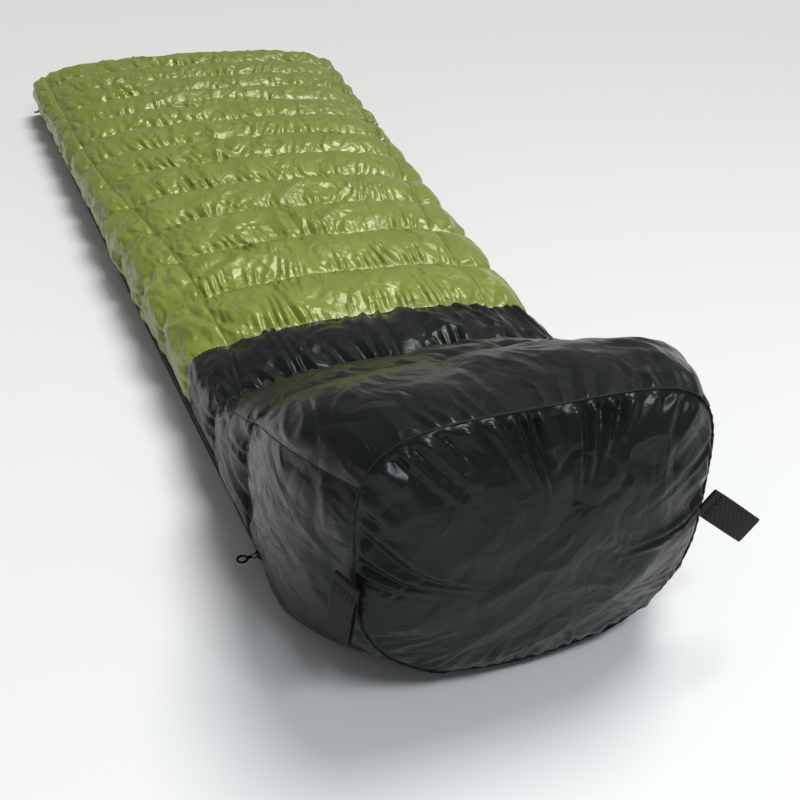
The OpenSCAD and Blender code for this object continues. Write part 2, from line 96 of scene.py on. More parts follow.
def smooth(t):
    t = np.clip(t, 0, 1)
    return t * t * (3 - 2 * t)


def edgeWidth(s):
    draw = (quilt["edgeHalf"] - quilt["footHalf"]) * (1 - np.clip(s / quilt["zipBlend"], 0, 1)) ** 2
    return quilt["edgeHalf"] + quilt["edgeTaper"] * s - draw


def swell(s):
    first = quilt["footChambers"][0]
    if s < first:
        return mix(quilt["footSwell"], quilt["boxSwell"], ease(s / first))
    return mix(quilt["boxSwell"], quilt["sideSwell"], ease((s - first) / (footLen - first)))


def halfWidth(s):
    return edgeWidth(s) + swell(s)


def height(s):
    return mix(quilt["footHeight"], quilt["bodyHeight"], ease(s / quilt["slopeLen"]))


def seamAngle(s):
    foot, waist, head = quilt["seamTurns"]
    start, run = quilt["bodyTurn"]
    if s < footLen:
        return math.radians(mix(foot, waist, ease(s / footLen)))
    return math.radians(mix(waist, head, ease((s - footLen - start) / run)))


def signedPower(v, power):
    return np.sign(v) * np.abs(v) ** power


def arch(a, s):
    power = 2 / mix(*quilt["archPowers"], ease(s / quilt["slopeLen"]))
    x = halfWidth(s) * signedPower(np.cos(a), power)
    z = height(s) / 2 * (1 + np.maximum(np.sin(a), 0) ** power)
    return np.stack([x, z], -1)


footRound = {
    "reach": 0.135,
    "fade": 1.7,
    "wide": 0.0685,
    "turn": 66,
    "bend": 0.84,
    "lift": 0.0105,
    "rise": 0.0095,
    "flat": 0.0008,
}


def footShare(s):
    # how much of the rounded foot end is left at s: 1 at the foot seam, 0 where the quilt lies flat
    return float(np.clip(1 - s / footRound["reach"], 0, 1)) ** footRound["fade"]


def sideLine(s, low, out=0.0):
    # from the long seam down to the lower edge, on the +X side
    up = arch(np.linspace(seamAngle(s), 0, 60), s)
    t = np.linspace(0, 1, 40)[1:]
    mid = height(s) / 2
    flat = np.stack(
        [
            mix(edgeWidth(s) + out, halfWidth(s), np.cos(t * math.pi / 2)),
            mid - (mid - low) * np.sin(t * math.pi / 2),
        ],
        -1,
    )
    turn = t * math.radians(footRound["turn"])
    curved = np.stack(
        [
            halfWidth(s) * np.cos(turn) ** footRound["bend"],
            mid - (mid - footRound["lift"]) * np.sin(turn) ** footRound["bend"],
        ],
        -1,
    )
    return np.concatenate([up, mix(flat, curved, footShare(s))])


def underHeight(x, s):
    # height of the underside: flat on the floor, and lifted round the foot end
    lifted = footRound["lift"] + footRound["rise"] * (x / footRound["wide"]) ** 2
    return mix(footRound["flat"], lifted, footShare(s))


def unit(v):
    return v / np.maximum(np.linalg.norm(v, axis=-1, keepdims=True), 1e-9)


def lengths(line):
    # how far along the line each of its points is
    return np.concatenate([[0], np.cumsum(np.linalg.norm(np.diff(line, axis=0), axis=1))])


def sample(want, along, line, **more):
    return np.stack([np.interp(want, along, line[:, k], **more) for k in range(line.shape[1])], -1)


def spread(line, count):
    # the same line with evenly spaced points
    along = lengths(line)
    return sample(np.linspace(0, along[-1], count), along, line)


zipSide = {
    "out": 0.0036,
    "over": 0.003,
    "blend": 0.012,
    "spare": 0.004,
    "starts": 0.15,
    "ends": (0.5, 0.4),
    "top": 0.3,
}


def ring(s, sideCount, topCount):
    # one row over the quilt, from the left lower edge to the right one
    zipPart = smooth((s - quilt["zipBlend"]) / zipSide["blend"])
    low = mix(quilt["floorEdge"], quilt["panelEdge"] - zipSide["over"], zipPart)
    left = sideLine(s, low, zipSide["out"] * zipPart)[::-1]
    # the zip side hangs flatter than the other
    endStart, endRun = zipSide["ends"]
    flatPart = smooth(s / zipSide["starts"]) * (1 - smooth((s - endStart) / endRun))
    share = mix(1.0, quilt["zipSideSwell"], flatPart)
    beyond = np.maximum(left[:, 0] - edgeWidth(s) - zipSide["spare"], 0)
    left[:, 0] -= beyond * (1 - share)
    left = left * [-1, 1]
    right = sideLine(s, quilt["floorEdge"])
    angle = seamAngle(s)
    top = arch(np.linspace(math.pi - angle, angle, 240), s)
    toLeft = np.clip(1 - np.linspace(0, 1, len(top)) / zipSide["top"], 0, 1) ** 2
    top[:, 0] += (left[-1, 0] - top[0, 0]) * toLeft
    return np.concatenate(
        [spread(left, sideCount + 1)[:-1], spread(top, topCount + 1), spread(right, sideCount + 1)[1:]]
    )


def hashed(i, j, k, seed):
    n = (i * 73856093) ^ (j * 19349663) ^ (k * 83492791) ^ (seed * 2654435761)
    n = (n ^ (n >> 13)) * 1274126177
    return ((n ^ (n >> 16)) & 0xFFFFF) / 0xFFFFF


def noise(p, seed=0):
    # gradient noise, about -1 to 1, the same on every run
    base = np.floor(p).astype(np.int64)
    f = p - base
    w = f * f * f * (f * (f * 6 - 15) + 10)
    total = np.zeros(len(p))
    for di in (0, 1):
        for dj in (0, 1):
            for dk in (0, 1):
                i, j, k = base[:, 0] + di, base[:, 1] + dj, base[:, 2] + dk
                a = hashed(i, j, k, seed) * 2 * np.pi
                b = hashed(i, j, k, seed + 7) * 2 - 1
                r = np.sqrt(1 - b * b)
                d = f - [di, dj, dk]
                dot = r * np.cos(a) * d[:, 0] + r * np.sin(a) * d[:, 1] + b * d[:, 2]
                wx = w[:, 0] if di else 1 - w[:, 0]
                wy = w[:, 1] if dj else 1 - w[:, 1]
                wz = w[:, 2] if dk else 1 - w[:, 2]
                total += wx * wy * wz * dot
    return total * 1.6


def ridged(p, seed=0):
    # sharp creases with smooth facets between them, 0 in a facet to 1 on a crease
    return 1 - np.minimum(1, np.abs(noise(p, seed)) * 1.9)


def zigzag(x):
    # straight up and down with sharp turns, 0 to 1
    return np.abs(x - np.round(x)) * 2


def gridNormals(p):
    # out of the quilt for a grid whose rows run to the head and columns from left to right
    return unit(np.cross(np.gradient(p, axis=1), np.gradient(p, axis=0)))


def refine(p, creases):
    # twice as many rows, smooth between the creases
    n = len(p)
    longer = np.concatenate([2 * p[:1] - p[1:2], p, 2 * p[-1:] - p[-2:-1]])
    mid = (-longer[:-3] + 9 * longer[1:-2] + 9 * longer[2:-1] - longer[3:]) / 16
    for c in creases:
        if c + 2 < n:
            mid[c] = (3 * p[c] + 6 * p[c + 1] - p[c + 2]) / 8
        if c - 2 >= 0:
            mid[c - 1] = (3 * p[c] + 6 * p[c - 1] - p[c - 2]) / 8
    out = np.empty((2 * n - 1,) + p.shape[1:])
    out[::2] = p
    out[1::2] = mid
    return out


def refineBoth(p, rowCreases, colCreases):
    p = refine(p, rowCreases)
    return refine(p.transpose(1, 0, 2), colCreases).transpose(1, 0, 2)


def newMesh(name, verts, faces, material):
    mesh = bpy.data.meshes.new(name)
    mesh.from_pydata(np.asarray(verts).tolist(), [], [list(map(int, f)) for f in faces])
    mesh.update()
    obj = bpy.data.objects.new(name, mesh)
    bpy.context.scene.collection.objects.link(obj)
    if material:
        mesh.materials.append(material)
    mesh.polygons.foreach_set("use_smooth", [True] * len(mesh.polygons))
    return obj


def facingOut(obj):
    # closed pieces with every face turned outward
    work = bmesh.new()
    work.from_mesh(obj.data)
    bmesh.ops.recalc_face_normals(work, faces=work.faces)
    work.to_mesh(obj.data)
    work.free()
    return obj


def gridFaces(rows, cols, flip=False, closed=False, looped=False):
    # closed joins the last column to the first, looped the last row to the first
    idx = np.arange(rows * cols).reshape(rows, cols)
    if closed:
        idx = np.concatenate([idx, idx[:, :1]], 1)
    if looped:
        idx = np.concatenate([idx, idx[:1]])
    quads = np.stack([idx[:-1, :-1], idx[1:, :-1], idx[1:, 1:], idx[:-1, 1:]], -1).reshape(-1, 4)
    return quads[:, ::-1] if flip else quads


def ringFaces(rings, sides):
    # faces between small rings of points that follow one another
    return gridFaces(rings, sides, closed=True)[:, [0, 3, 2, 1]]


def gridObject(name, p, material, flip=True, closed=False):
    return newMesh(name, p.reshape(-1, 3), gridFaces(*p.shape[:2], flip, closed), material)


def ridePiece(obj, body="quilt", stands=()):
    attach(obj, body)
    if stands:
        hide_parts(*stands)
    return obj


def aboveFloor(p):
    p[:, :, 2] = np.maximum(p[:, :, 2], quilt["lowest"])
    return p


# --- cloth: pressure inside, held at the seams, cut wider than the space between them
def puff(p, held, growth, cloth):
    obj = gridObject("clothRun", p, None)
    group = obj.vertex_groups.new(name="held")
    group.add([int(i) for i in np.flatnonzero(held)], 1.0, "REPLACE")
    obj.shape_key_add(name="Basis")
    cut = obj.shape_key_add(name="cut")
    centre = p.reshape(-1, 3).mean(0)
    cut.data.foreach_set("co", ((p.reshape(-1, 3) - centre) * growth + centre).reshape(-1))
    run = obj.modifiers.new("puff", "CLOTH")
    run.settings.quality = cloth["quality"]
    run.settings.mass = cloth["mass"]
    for kind in ("tension", "compression", "shear", "bending"):
        setattr(run.settings, kind + "_stiffness", cloth["stiffness"][kind])
        setattr(run.settings, kind + "_damping", cloth["damping"][kind])
    run.settings.air_damping = cloth["damping"]["air"]
    run.settings.use_pressure = True
    run.settings.uniform_pressure_force = cloth["pressure"]
    run.settings.vertex_group_mass = "held"
    run.settings.effector_weights.gravity = cloth["gravity"]
    run.settings.rest_shape_key = cut
    run.collision_settings.use_collision = False
    run.point_cache.frame_end = cloth["frames"] + 1
    scene = bpy.context.scene
    for f in range(1, cloth["frames"] + 1):
        scene.frame_set(f)
    done = obj.evaluated_get(bpy.context.evaluated_depsgraph_get()).to_mesh()
    co = np.empty(len(done.vertices) * 3)
    done.vertices.foreach_get("co", co)
    scene.frame_set(1)
    mesh = obj.data
    bpy.data.objects.remove(obj)
    bpy.data.meshes.remove(mesh)
    moved = co.reshape(p.shape) - p
    far = np.linalg.norm(moved, axis=2, keepdims=True)
    report(f"  moved {far.mean() * 1000:.1f} mm on average, {far.max() * 1000:.1f} mm at most")
    cap = np.broadcast_to(cloth["cap"], p.shape[:2])[:, :, None]
    result = p + moved * np.minimum(1, cap / np.maximum(far, 1e-9))
    return aboveFloor(result)


# --- shader building
def newMaterial(name):
    material = bpy.data.materials.new(name)
    material.use_nodes = True
    tree = material.node_tree
    return material, tree, tree.nodes["Principled BSDF"]


def setInputs(tree, node, inputs):
    # each value is a plain one or the output of another node
    for key, value in inputs.items():
        if isinstance(value, bpy.types.NodeSocket):
            tree.links.new(value, node.inputs[key])
        elif value is not None:
            node.inputs[key].default_value = value


def addNode(tree, kind, inputs=None, **settings):
    node = tree.nodes.new(kind)
    for key, value in settings.items():
        setattr(node, key, value)
    setInputs(tree, node, inputs or {})
    return node


def maths(tree, operation, a, b=None, c=None):
    return addNode(tree, "ShaderNodeMath", {0: a, 1: b, 2: c}, operation=operation).outputs[0]


def ranged(tree, value, low, high, toLow, toHigh):
    inputs = {"Value": value, "From Min": low, "From Max": high, "To Min": toLow, "To Max": toHigh}
    return addNode(tree, "ShaderNodeMapRange", inputs).outputs[0]


def onObject(tree):
    return addNode(tree, "ShaderNodeTexCoord").outputs["Object"]


def spotty(tree, where, scale, detail):
    return addNode(tree, "ShaderNodeTexNoise", {"Vector": where, "Scale": scale, "Detail": detail})


def bumped(tree, height, strength, distance, normal=None):
    inputs = {"Strength": strength, "Distance": distance, "Height": height, "Normal": normal}
    return addNode(tree, "ShaderNodeBump", inputs).outputs[0]


def blendColours(tree, factor, a, b):
    return addNode(tree, "ShaderNodeMix", {0: factor, 6: a, 7: b}, data_type="RGBA").outputs[2]


def newGroup(name, inputs, outputs):
    tree = bpy.data.node_groups.new(name, "ShaderNodeTree")
    for label, (kind, value) in inputs.items():
        socket = tree.interface.new_socket(name=label, in_out="INPUT", socket_type=kind)
        socket.default_value = value
    for label, kind in outputs.items():
        tree.interface.new_socket(name=label, in_out="OUTPUT", socket_type=kind)
    return tree, tree.nodes.new("NodeGroupInput").outputs, tree.nodes.new("NodeGroupOutput")


def useGroup(tree, group, inputs):
    return addNode(tree, "ShaderNodeGroup", inputs, node_tree=group).outputs


floatKind = "NodeSocketFloat"
colourKind = "NodeSocketColor"


def makeFoilCrinkle():
    # creases of a thin calendered fabric that has been stuffed in a sack: height, and a crease mask that the
    # shell fabrics use to paint a highlight on the crease ridges
    tree, given, out = newGroup(
        "foilCrinkle",
        {"Facet Size": (floatKind, 0.02), "Fine Size": (floatKind, 0.006), "Fine Amount": (floatKind, 0.35)},
        {"Height": floatKind, "Creases": floatKind},
    )
    where = onObject(tree)
    wobble = spotty(tree, where, 22.0, 2.0).outputs["Color"]
    shift = addNode(tree, "ShaderNodeVectorMath", {0: wobble, 1: (0.03, 0.03, 0.03)}, operation="MULTIPLY")
    place = addNode(tree, "ShaderNodeVectorMath", {0: where, 1: shift.outputs[0]}, operation="ADD").outputs[0]
    layers = []
    for label, turn, folds in (("Facet Size", 0.3, 3.4), ("Fine Size", 1.1, 2.6)):
        scale = maths(tree, "DIVIDE", 1.0, given[label])
        placing = {"Vector": place, "Rotation": (turn, turn * 0.7, turn * 0.5), "Scale": (1.0, 0.5, 1.0)}
        turned = addNode(tree, "ShaderNodeMapping", placing).outputs[0]
        steep = maths(tree, "MULTIPLY", spotty(tree, turned, scale, 0.0).outputs["Fac"], folds)
        layers.append(maths(tree, "MULTIPLY", maths(tree, "PINGPONG", steep, 0.5), 2.0))
    big, fine = layers
    height = maths(tree, "ADD", big, maths(tree, "MULTIPLY", fine, given["Fine Amount"]))
    setInputs(tree, out, {"Height": height, "Creases": ranged(tree, big, 0.85, 1.0, 0.0, 1.0)})
    return tree


def makeRipstop():
    # fine plain weave with a thicker thread every few millimetres
    tree, given, out = newGroup(
        "ripstopWeave",
        {"Grid Size": (floatKind, 0.0048), "Line Width": (floatKind, 0.1)},
        {"Lines": floatKind},
    )
    parts = addNode(tree, "ShaderNodeSeparateXYZ", {"Vector": onObject(tree)}).outputs
    across = maths(tree, "ADD", parts[0], maths(tree, "MULTIPLY", parts[2], 0.8))
    lines = []
    for axis in (across, parts[1]):
        cell = maths(tree, "ABSOLUTE", maths(tree, "DIVIDE", axis, given["Grid Size"]))
        lines.append(maths(tree, "LESS_THAN", maths(tree, "FRACT", cell), given["Line Width"]))
    setInputs(tree, out, {"Lines": maths(tree, "MAXIMUM", *lines)})
    return tree


def makeCloudyTint():
    # slow change of a colour over the fabric, as where fill lies thick or thin behind it
    tree, given, out = newGroup(
        "cloudyTint",
        {
            "Base": (colourKind, (0.5, 0.5, 0.5, 1)),
            "Deep": (colourKind, (0.4, 0.4, 0.4, 1)),
            "Patch Size": (floatKind, 0.06),
            "Amount": (floatKind, 0.6),
        },
        {"Color": colourKind, "Patches": floatKind},
    )
    scale = maths(tree, "DIVIDE", 1.0, given["Patch Size"])
    spots = spotty(tree, onObject(tree), scale, 4.0).outputs["Fac"]
    mask = ranged(tree, spots, 0.35, 0.65, 0.0, 1.0)
    amount = maths(tree, "MULTIPLY", mask, given["Amount"])
    colour = blendColours(tree, amount, given["Base"], given["Deep"])
    setInputs(tree, out, {"Color": colour, "Patches": mask})
    return tree


def makeWovenRibs():
    # ribs and floats of a woven band, along and across it
    tree, given, out = newGroup(
        "wovenRibs",
        {"Rib Size": (floatKind, 0.0012), "Thread Size": (floatKind, 0.0006)},
        {"Height": floatKind, "Gaps": floatKind},
    )
    parts = addNode(tree, "ShaderNodeSeparateXYZ", {"Vector": onObject(tree)}).outputs
    slant = maths(tree, "ADD", parts[1], maths(tree, "MULTIPLY", parts[0], 0.6))
    waves = []
    for axis, label in ((slant, "Rib Size"), (parts[2], "Thread Size")):
        turn = maths(tree, "DIVIDE", axis, maths(tree, "DIVIDE", given[label], 2 * math.pi))
        waves.append(maths(tree, "MULTIPLY", maths(tree, "SINE", turn), 0.5))
    height = maths(tree, "ADD", *waves)
    setInputs(tree, out, {"Height": height, "Gaps": ranged(tree, height, -0.9, 0.1, 1.0, 0.0)})
    return tree


foilCrinkle = makeFoilCrinkle()
ripstopWeave = makeRipstop()
cloudyTint = makeCloudyTint()
wovenRibs = makeWovenRibs()


def shellFabric(name, look):
    material, tree, bsdf = newMaterial(name)
    tint = useGroup(
        tree,
        cloudyTint,
        {"Base": look["base"], "Deep": look["deep"], "Patch Size": 0.07, "Amount": look["patches"]},
    )
    crinkle = useGroup(
        tree,
        foilCrinkle,
        {"Facet Size": look["facet"], "Fine Size": look["fine"], "Fine Amount": look["fineAmount"]},
    )
    lines = useGroup(tree, ripstopWeave, {"Grid Size": 0.0046, "Line Width": 0.09})["Lines"]
    # painted highlight: a paler colour on the crease ridges, standing in for light caught on the foil creases
    paintedHighlight = maths(tree, "MULTIPLY", crinkle["Creases"], look["creaseHighlight"])
    colour = blendColours(tree, paintedHighlight, tint["Color"], look["crease"])
    lined = blendColours(tree, maths(tree, "MULTIPLY", lines, look["lines"]), colour, look["deep"])
    folds = bumped(tree, crinkle["Height"], 1.0, look["bump"])
    finish = {
        "Base Color": lined,
        "Roughness": ranged(tree, tint["Patches"], 0.0, 1.0, *look["roughness"]),
        "Normal": bumped(tree, lines, 0.5, 0.00006, folds),
        "Specular IOR Level": look["specular"],
        "Specular Tint": look["shine"],
        "Coat Weight": look["coat"],
        "Coat Roughness": look["coatRough"],
        "Sheen Weight": look["sheen"],
        "Sheen Roughness": 0.4,
    }
    setInputs(tree, bsdf, finish)
    return material


greenLook = {
    "base": (0.225, 0.270, 0.040, 1),
    "deep": (0.178, 0.216, 0.028, 1),
    # crease: the paler colour of the painted highlight on the crease ridges
    "crease": (0.27, 0.32, 0.07, 1),
    "patches": 0.5,
    "creaseHighlight": 0.15,
    "lines": 0.12,
    "facet": 0.034,
    "fine": 0.014,
    "fineAmount": 0.3,
    "bump": 0.0016,
    "roughness": (0.28, 0.36),
    "specular": 0.62,
    "shine": (0.95, 1.0, 0.66, 1),
    "coat": 0.04,
    "coatRough": 0.22,
    "sheen": 0.0,
}
blackLook = dict(
    greenLook,
    base=(0.0085, 0.0108, 0.0088, 1),
    deep=(0.0058, 0.0074, 0.0062, 1),
    # crease: painted highlight colour on the crease ridges
    crease=(0.013, 0.016, 0.0145, 1),
    facet=0.045,
    fine=0.016,
    bump=0.0011,
    lines=0.3,
    roughness=(0.26, 0.34),
    specular=0.22,
    shine=(0.86, 0.96, 0.98, 1),
    coat=0.0,
)
liningLook = dict(
    blackLook,
    base=(0.013, 0.014, 0.014, 1),
    deep=(0.009, 0.010, 0.010, 1),
    roughness=(0.5, 0.62),
    specular=0.3,
    coat=0.0,
    bump=0.0006,
    sheen=0.05,
)
greenShell = shellFabric("greenShell", greenLook)
blackShell = shellFabric("blackShell", blackLook)
liningCloth = shellFabric("liningCloth", liningLook)


def bandCloth(name, look):
    material, tree, bsdf = newMaterial(name)
    weave = useGroup(tree, wovenRibs, {"Rib Size": look["rib"], "Thread Size": look["thread"]})
    finish = {
        "Base Color": blendColours(tree, weave["Gaps"], look["base"], look["gap"]),
        "Roughness": ranged(tree, weave["Gaps"], 0.0, 1.0, 0.62, 0.85),
        "Normal": bumped(tree, weave["Height"], 0.8, look["bump"]),
        "Specular IOR Level": 0.3,
    }
    setInputs(tree, bsdf, finish)
    return material


webbingLook = {
    "base": (0.0060, 0.0065, 0.0068, 1),
    "gap": (0.003, 0.003, 0.003, 1),
    "rib": 0.0024,
    "thread": 0.0012,
    "bump": 0.000012,
}
zipTapeLook = {
    "base": (0.018, 0.019, 0.020, 1),
    "gap": (0.007, 0.007, 0.008, 1),
    "rib": 0.0008,
    "thread": 0.0006,
    "bump": 0.0001,
}
bindingLook = {
    "base": (0.009, 0.010, 0.010, 1),
    "gap": (0.004, 0.004, 0.004, 1),
    "rib": 0.0012,
    "thread": 0.0007,
    "bump": 0.00008,
}
webbingBand = bandCloth("webbingBand", webbingLook)
zipTapeCloth = bandCloth("zipTapeCloth", zipTapeLook)
bindingCloth = bandCloth("bindingCloth", bindingLook)


def plainFinish(name, look):
    # metal, nylon, thread or down: fine grain, and patches of a second colour and gloss
    material, tree, bsdf = newMaterial(name)
    tint = useGroup(
        tree,
        cloudyTint,
        {"Base": look["base"], "Deep": look["worn"], "Patch Size": look["patch"], "Amount": look["wear"]},
    )
    grain = spotty(tree, onObject(tree), look["grain"], 2.0).outputs["Fac"]
    finish = {
        "Base Color": tint["Color"],
        "Roughness": ranged(tree, tint["Patches"], 0.0, 1.0, *look["roughness"]),
        "Normal": bumped(tree, grain, 0.35, 0.00008),
        "Metallic": look["metal"],
    }
    setInputs(tree, bsdf, finish)
    return material


metalLook = {
    "base": (0.018, 0.018, 0.020, 1),
    "worn": (0.07, 0.07, 0.075, 1),
    "patch": 0.003,
    "wear": 0.5,
    "roughness": (0.28, 0.42),
    "grain": 1400.0,
    "metal": 0.8,
}
nylonLook = {
    "base": (0.020, 0.020, 0.021, 1),
    "worn": (0.035, 0.035, 0.037, 1),
    "patch": 0.002,
    "wear": 0.5,
    "roughness": (0.35, 0.5),
    "grain": 2500.0,
    "metal": 0.0,
}
greenThreadLook = {
    "base": (0.105, 0.120, 0.032, 1),
    "worn": (0.16, 0.18, 0.05, 1),
    "patch": 0.004,
    "wear": 0.6,
    "roughness": (0.5, 0.65),
    "grain": 3000.0,
    "metal": 0.0,
}
blackThreadLook = dict(greenThreadLook, base=(0.010, 0.010, 0.011, 1), worn=(0.03, 0.032, 0.033, 1))
downLook = {
    "base": (0.85, 0.83, 0.78, 1),
    "worn": (0.7, 0.68, 0.62, 1),
    "patch": 0.01,
    "wear": 0.6,
    "roughness": (0.8, 0.95),
    "grain": 800.0,
    "metal": 0.0,
}
zipMetal = plainFinish("zipMetal", metalLook)
coilNylon = plainFinish("coilNylon", nylonLook)
greenThread = plainFinish("greenThread", greenThreadLook)
blackThread = plainFinish("blackThread", blackThreadLook)
whiteDown = plainFinish("whiteDown", downLook)
report("materials")

# --- the chambered shells: foot box and body
footBox = {
    "seams": footSeams,
    "start": -0.002,
    "rowStep": 0.0038,
    "sideCols": 46,
    "topCols": 120,
    "rimDip": 0.004,
    "growth": (1.14, 1.08, 1.12),
    "cap": (0.005, 0.012, 0.010),
    "gather": 0.0075,
    "facets": [(0.085, 0.0052), (0.040, 0.0018)],
}
body = {
    "seams": bodySeams,
    "start": footLen,
    "rowStep": 0.0060,
    "sideCols": 38,
    "topCols": 98,
    "growth": (1.14, 1.09, 1.10),
    "cap": (0.006, 0.014, 0.007),
    "gather": 0.0078,
    "facets": [(0.080, 0.0052), (0.038, 0.0014)],
}
puffing = {
    "quality": 4,
    "mass": 0.05,
    "stiffness": {"tension": 12.0, "compression": 12.0, "shear": 3.0, "bending": 0.01},
    "damping": {"tension": 2.0, "compression": 2.0, "shear": 2.0, "bending": 0.1, "air": 1.0},
    "pressure": 70.0,
    "gravity": 0.0,
    "frames": 15,
}
seamShape = {
    "power": 0.62,
    "uneven": 0.22,
    "longDip": 0.006,
    "longReach": 0.016,
    "wander": 0.0050,
    "lowDip": 0.2,
    "lowFade": 0.05,
    "sideDip": 0.6,
    "topBlend": (0.03, 0.09),
}
gatherShape = {
    "width": 0.021,
    "reach": 0.048,
    "near": 0.005,
    "slant": 0.9,
    "slantEnd": 0.08,
    "slantSize": 0.11,
    "shift": 0.9,
    "shiftSize": 0.035,
    "reachSize": 0.05,
    "strengthSize": 0.07,
}
facetShape = {"bend": 0.008, "bendScale": 24, "turns": 1.5, "longer": 1.8, "patchSize": 2.4}
loopGap = {"height": 0.125, "beside": 0.10, "reach": 0.022, "blend": 0.03, "back": 0.0065}


def shellRows(part):
    # stations with a row on every seam, and the numbers of those rows
    seams = part["seams"].copy()
    seams[0] = part["start"]
    rows, marks = [seams[0]], [0]
    for a, b in zip(seams[:-1], seams[1:]):
        count = max(4, round((b - a) / part["rowStep"]))
        rows += list(np.linspace(a, b, count + 1)[1:])
        marks.append(len(rows) - 1)
    return np.array(rows), marks


def shellGrid(part, atFoot, seed):
    rows, marks = shellRows(part)
    side, top = part["sideCols"], part["topCols"]
    outline = np.stack([ring(max(s, quilt["firstRow"]), side, top) for s in rows])
    cols = outline.shape[1]
    p = np.empty((len(rows), cols, 3))
    p[:, :, 0], p[:, :, 2] = outline[:, :, 0], outline[:, :, 1]
    p[:, :, 1] = rows[:, None] + seamY
    tangent = np.gradient(outline, axis=1)
    inward = unit(np.stack([-tangent[:, :, 1], tangent[:, :, 0]], -1))
    inward = np.where((inward * (outline - [0, 0.06])).sum(2, keepdims=True) > 0, -inward, inward)
    chamber = np.clip(np.searchsorted(rows[marks], rows, side="right") - 1, 0, len(marks) - 2)
    t = (rows - rows[marks][chamber]) / np.diff(rows[marks])[chamber]
    u = np.linspace(0, 6, cols)
    dip = np.empty((len(rows), cols))
    for i in range(len(rows)):
        first = atFoot and chamber[i] == 0
        depth = mix(part["rimDip"], quilt["seamDip"], smooth(t[i])) if first else quilt["seamDip"]
        rise = max(0.0, math.sin(math.pi * t[i])) ** seamShape["power"]
        spots = noise(np.stack([u, u * 0 + chamber[i] * 3.7, u * 0], -1), seed)
        dip[i] = depth * (1 + seamShape["uneven"] * spots) * (1 - rise)
    step = np.linalg.norm(np.diff(outline, axis=1), axis=2)
    along = np.concatenate([np.zeros((len(rows), 1)), np.cumsum(step, axis=1)], 1)
    low = np.minimum(along, along[:, -1:] - along)
    dip *= mix(seamShape["lowDip"], 1.0, smooth(low / seamShape["lowFade"]))
    start, run = seamShape["topBlend"]
    onTop = smooth((low - along[:, side : side + 1] + start) / run)
    dip *= mix(seamShape["sideDip"], 1.0, onTop)
    for c in (side, side + top):
        away = np.abs(along - along[:, c : c + 1])
        dip += seamShape["longDip"] * np.exp(-away / seamShape["longReach"])
    p[:, :, 0] += inward[:, :, 0] * dip
    p[:, :, 2] += inward[:, :, 1] * dip
    spots = np.stack([np.tile(u * 1.3, len(rows)), np.repeat(rows * 3, cols), np.zeros(len(rows) * cols)], -1)
    wander = noise(spots, seed + 3)
    ends = np.sin(np.pi * np.clip((rows - rows[0]) / (rows[-1] - rows[0]), 0, 1)) ** 0.3
    p[:, :, 1] += seamShape["wander"] * wander.reshape(len(rows), cols) * ends[:, None]
    held = np.zeros(p.shape[:2], bool)
    held[marks] = True
    held[:, [0, -1, side, side + top]] = True
    return p, held, marks, rows


def crinkled(p, layers, seed, fade):
    # flat facets pressed into the puffed fabric, longer square to the seams; layers are (size, depth) pairs
    flat = p.reshape(-1, 3)
    shift = np.stack([noise(flat * facetShape["bendScale"], seed + k) for k in range(3)], -1)
    bent = flat + facetShape["bend"] * shift
    rise = np.zeros(len(flat))
    for k, (size, depth) in enumerate(layers):
        patch = np.clip(0.8 + noise(flat / (size * facetShape["patchSize"]), seed + 5 + k), 0.1, 1.6)
        folds = noise(bent / [size, size * facetShape["longer"], size], seed + 11 * k)
        rise += depth * patch * (zigzag(facetShape["turns"] * folds) - 0.5)
    return p + gridNormals(p) * (rise.reshape(p.shape[:2]) * fade)[:, :, None]


def gathers(p, rows, marks, depth, seed):
    # sharp pleats running out from each seam, slanted this way and that, each fading to a point
    along = lengths(p[len(p) // 2])
    rise = np.zeros(p.shape[:2])
    shape = gatherShape

    def spot(size, turn, k):
        return noise(np.stack([along / size, along * 0 + turn, along * 0 + 0.5], -1), seed + k)

    for number, m in enumerate(marks):
        for way in (-1, 1):
            away = way * (rows - rows[m])
            away = np.where(away < 0, 9.0, away)[:, None]
            turn = seed + number * 7.31 + way * 2.17
            slant = shape["slant"] * spot(shape["slantSize"], turn, 3) * np.minimum(away, shape["slantEnd"])
            shift = shape["shift"] * spot(shape["shiftSize"], turn, 1)
            line = (along[None] + slant) / shape["width"] + shift[None]
            reach = shape["reach"] * np.clip(1 + 1.2 * spot(shape["reachSize"], turn, 2), 0.3, 2.0)
            strong = np.clip(0.7 + spot(shape["strengthSize"], turn, 4), 0.05, 1.5)
            fade = np.clip(1 - away / reach[None], 0, 1) * smooth(away / shape["near"])
            rise += depth * (zigzag(line) - 0.5) * strong[None] * fade
    return rise


def loopFade(p):
    # 0 where the hang loops swing beside the foot seam, 1 away from them
    away = np.hypot(p[:, :, 1] - seamY, p[:, :, 2] - loopGap["height"])
    clear = smooth((away - loopGap["reach"]) / loopGap["blend"])
    return np.where(np.abs(p[:, :, 0]) > loopGap["beside"], clear, 1.0)


def seamFade(shape, rows, cols, reach=3):
    # 0 on the seams, so that the sewn lines stay where they are, 1 away from them
    fade = np.ones(shape)
    i = np.arange(shape[0])[:, None]
    j = np.arange(shape[1])[None, :]
    for r in rows:
        fade = np.minimum(fade, np.abs(i - r) / reach)
    for c in cols:
        fade = np.minimum(fade, np.abs(j - c) / reach)
    return np.clip(fade, 0, 1)


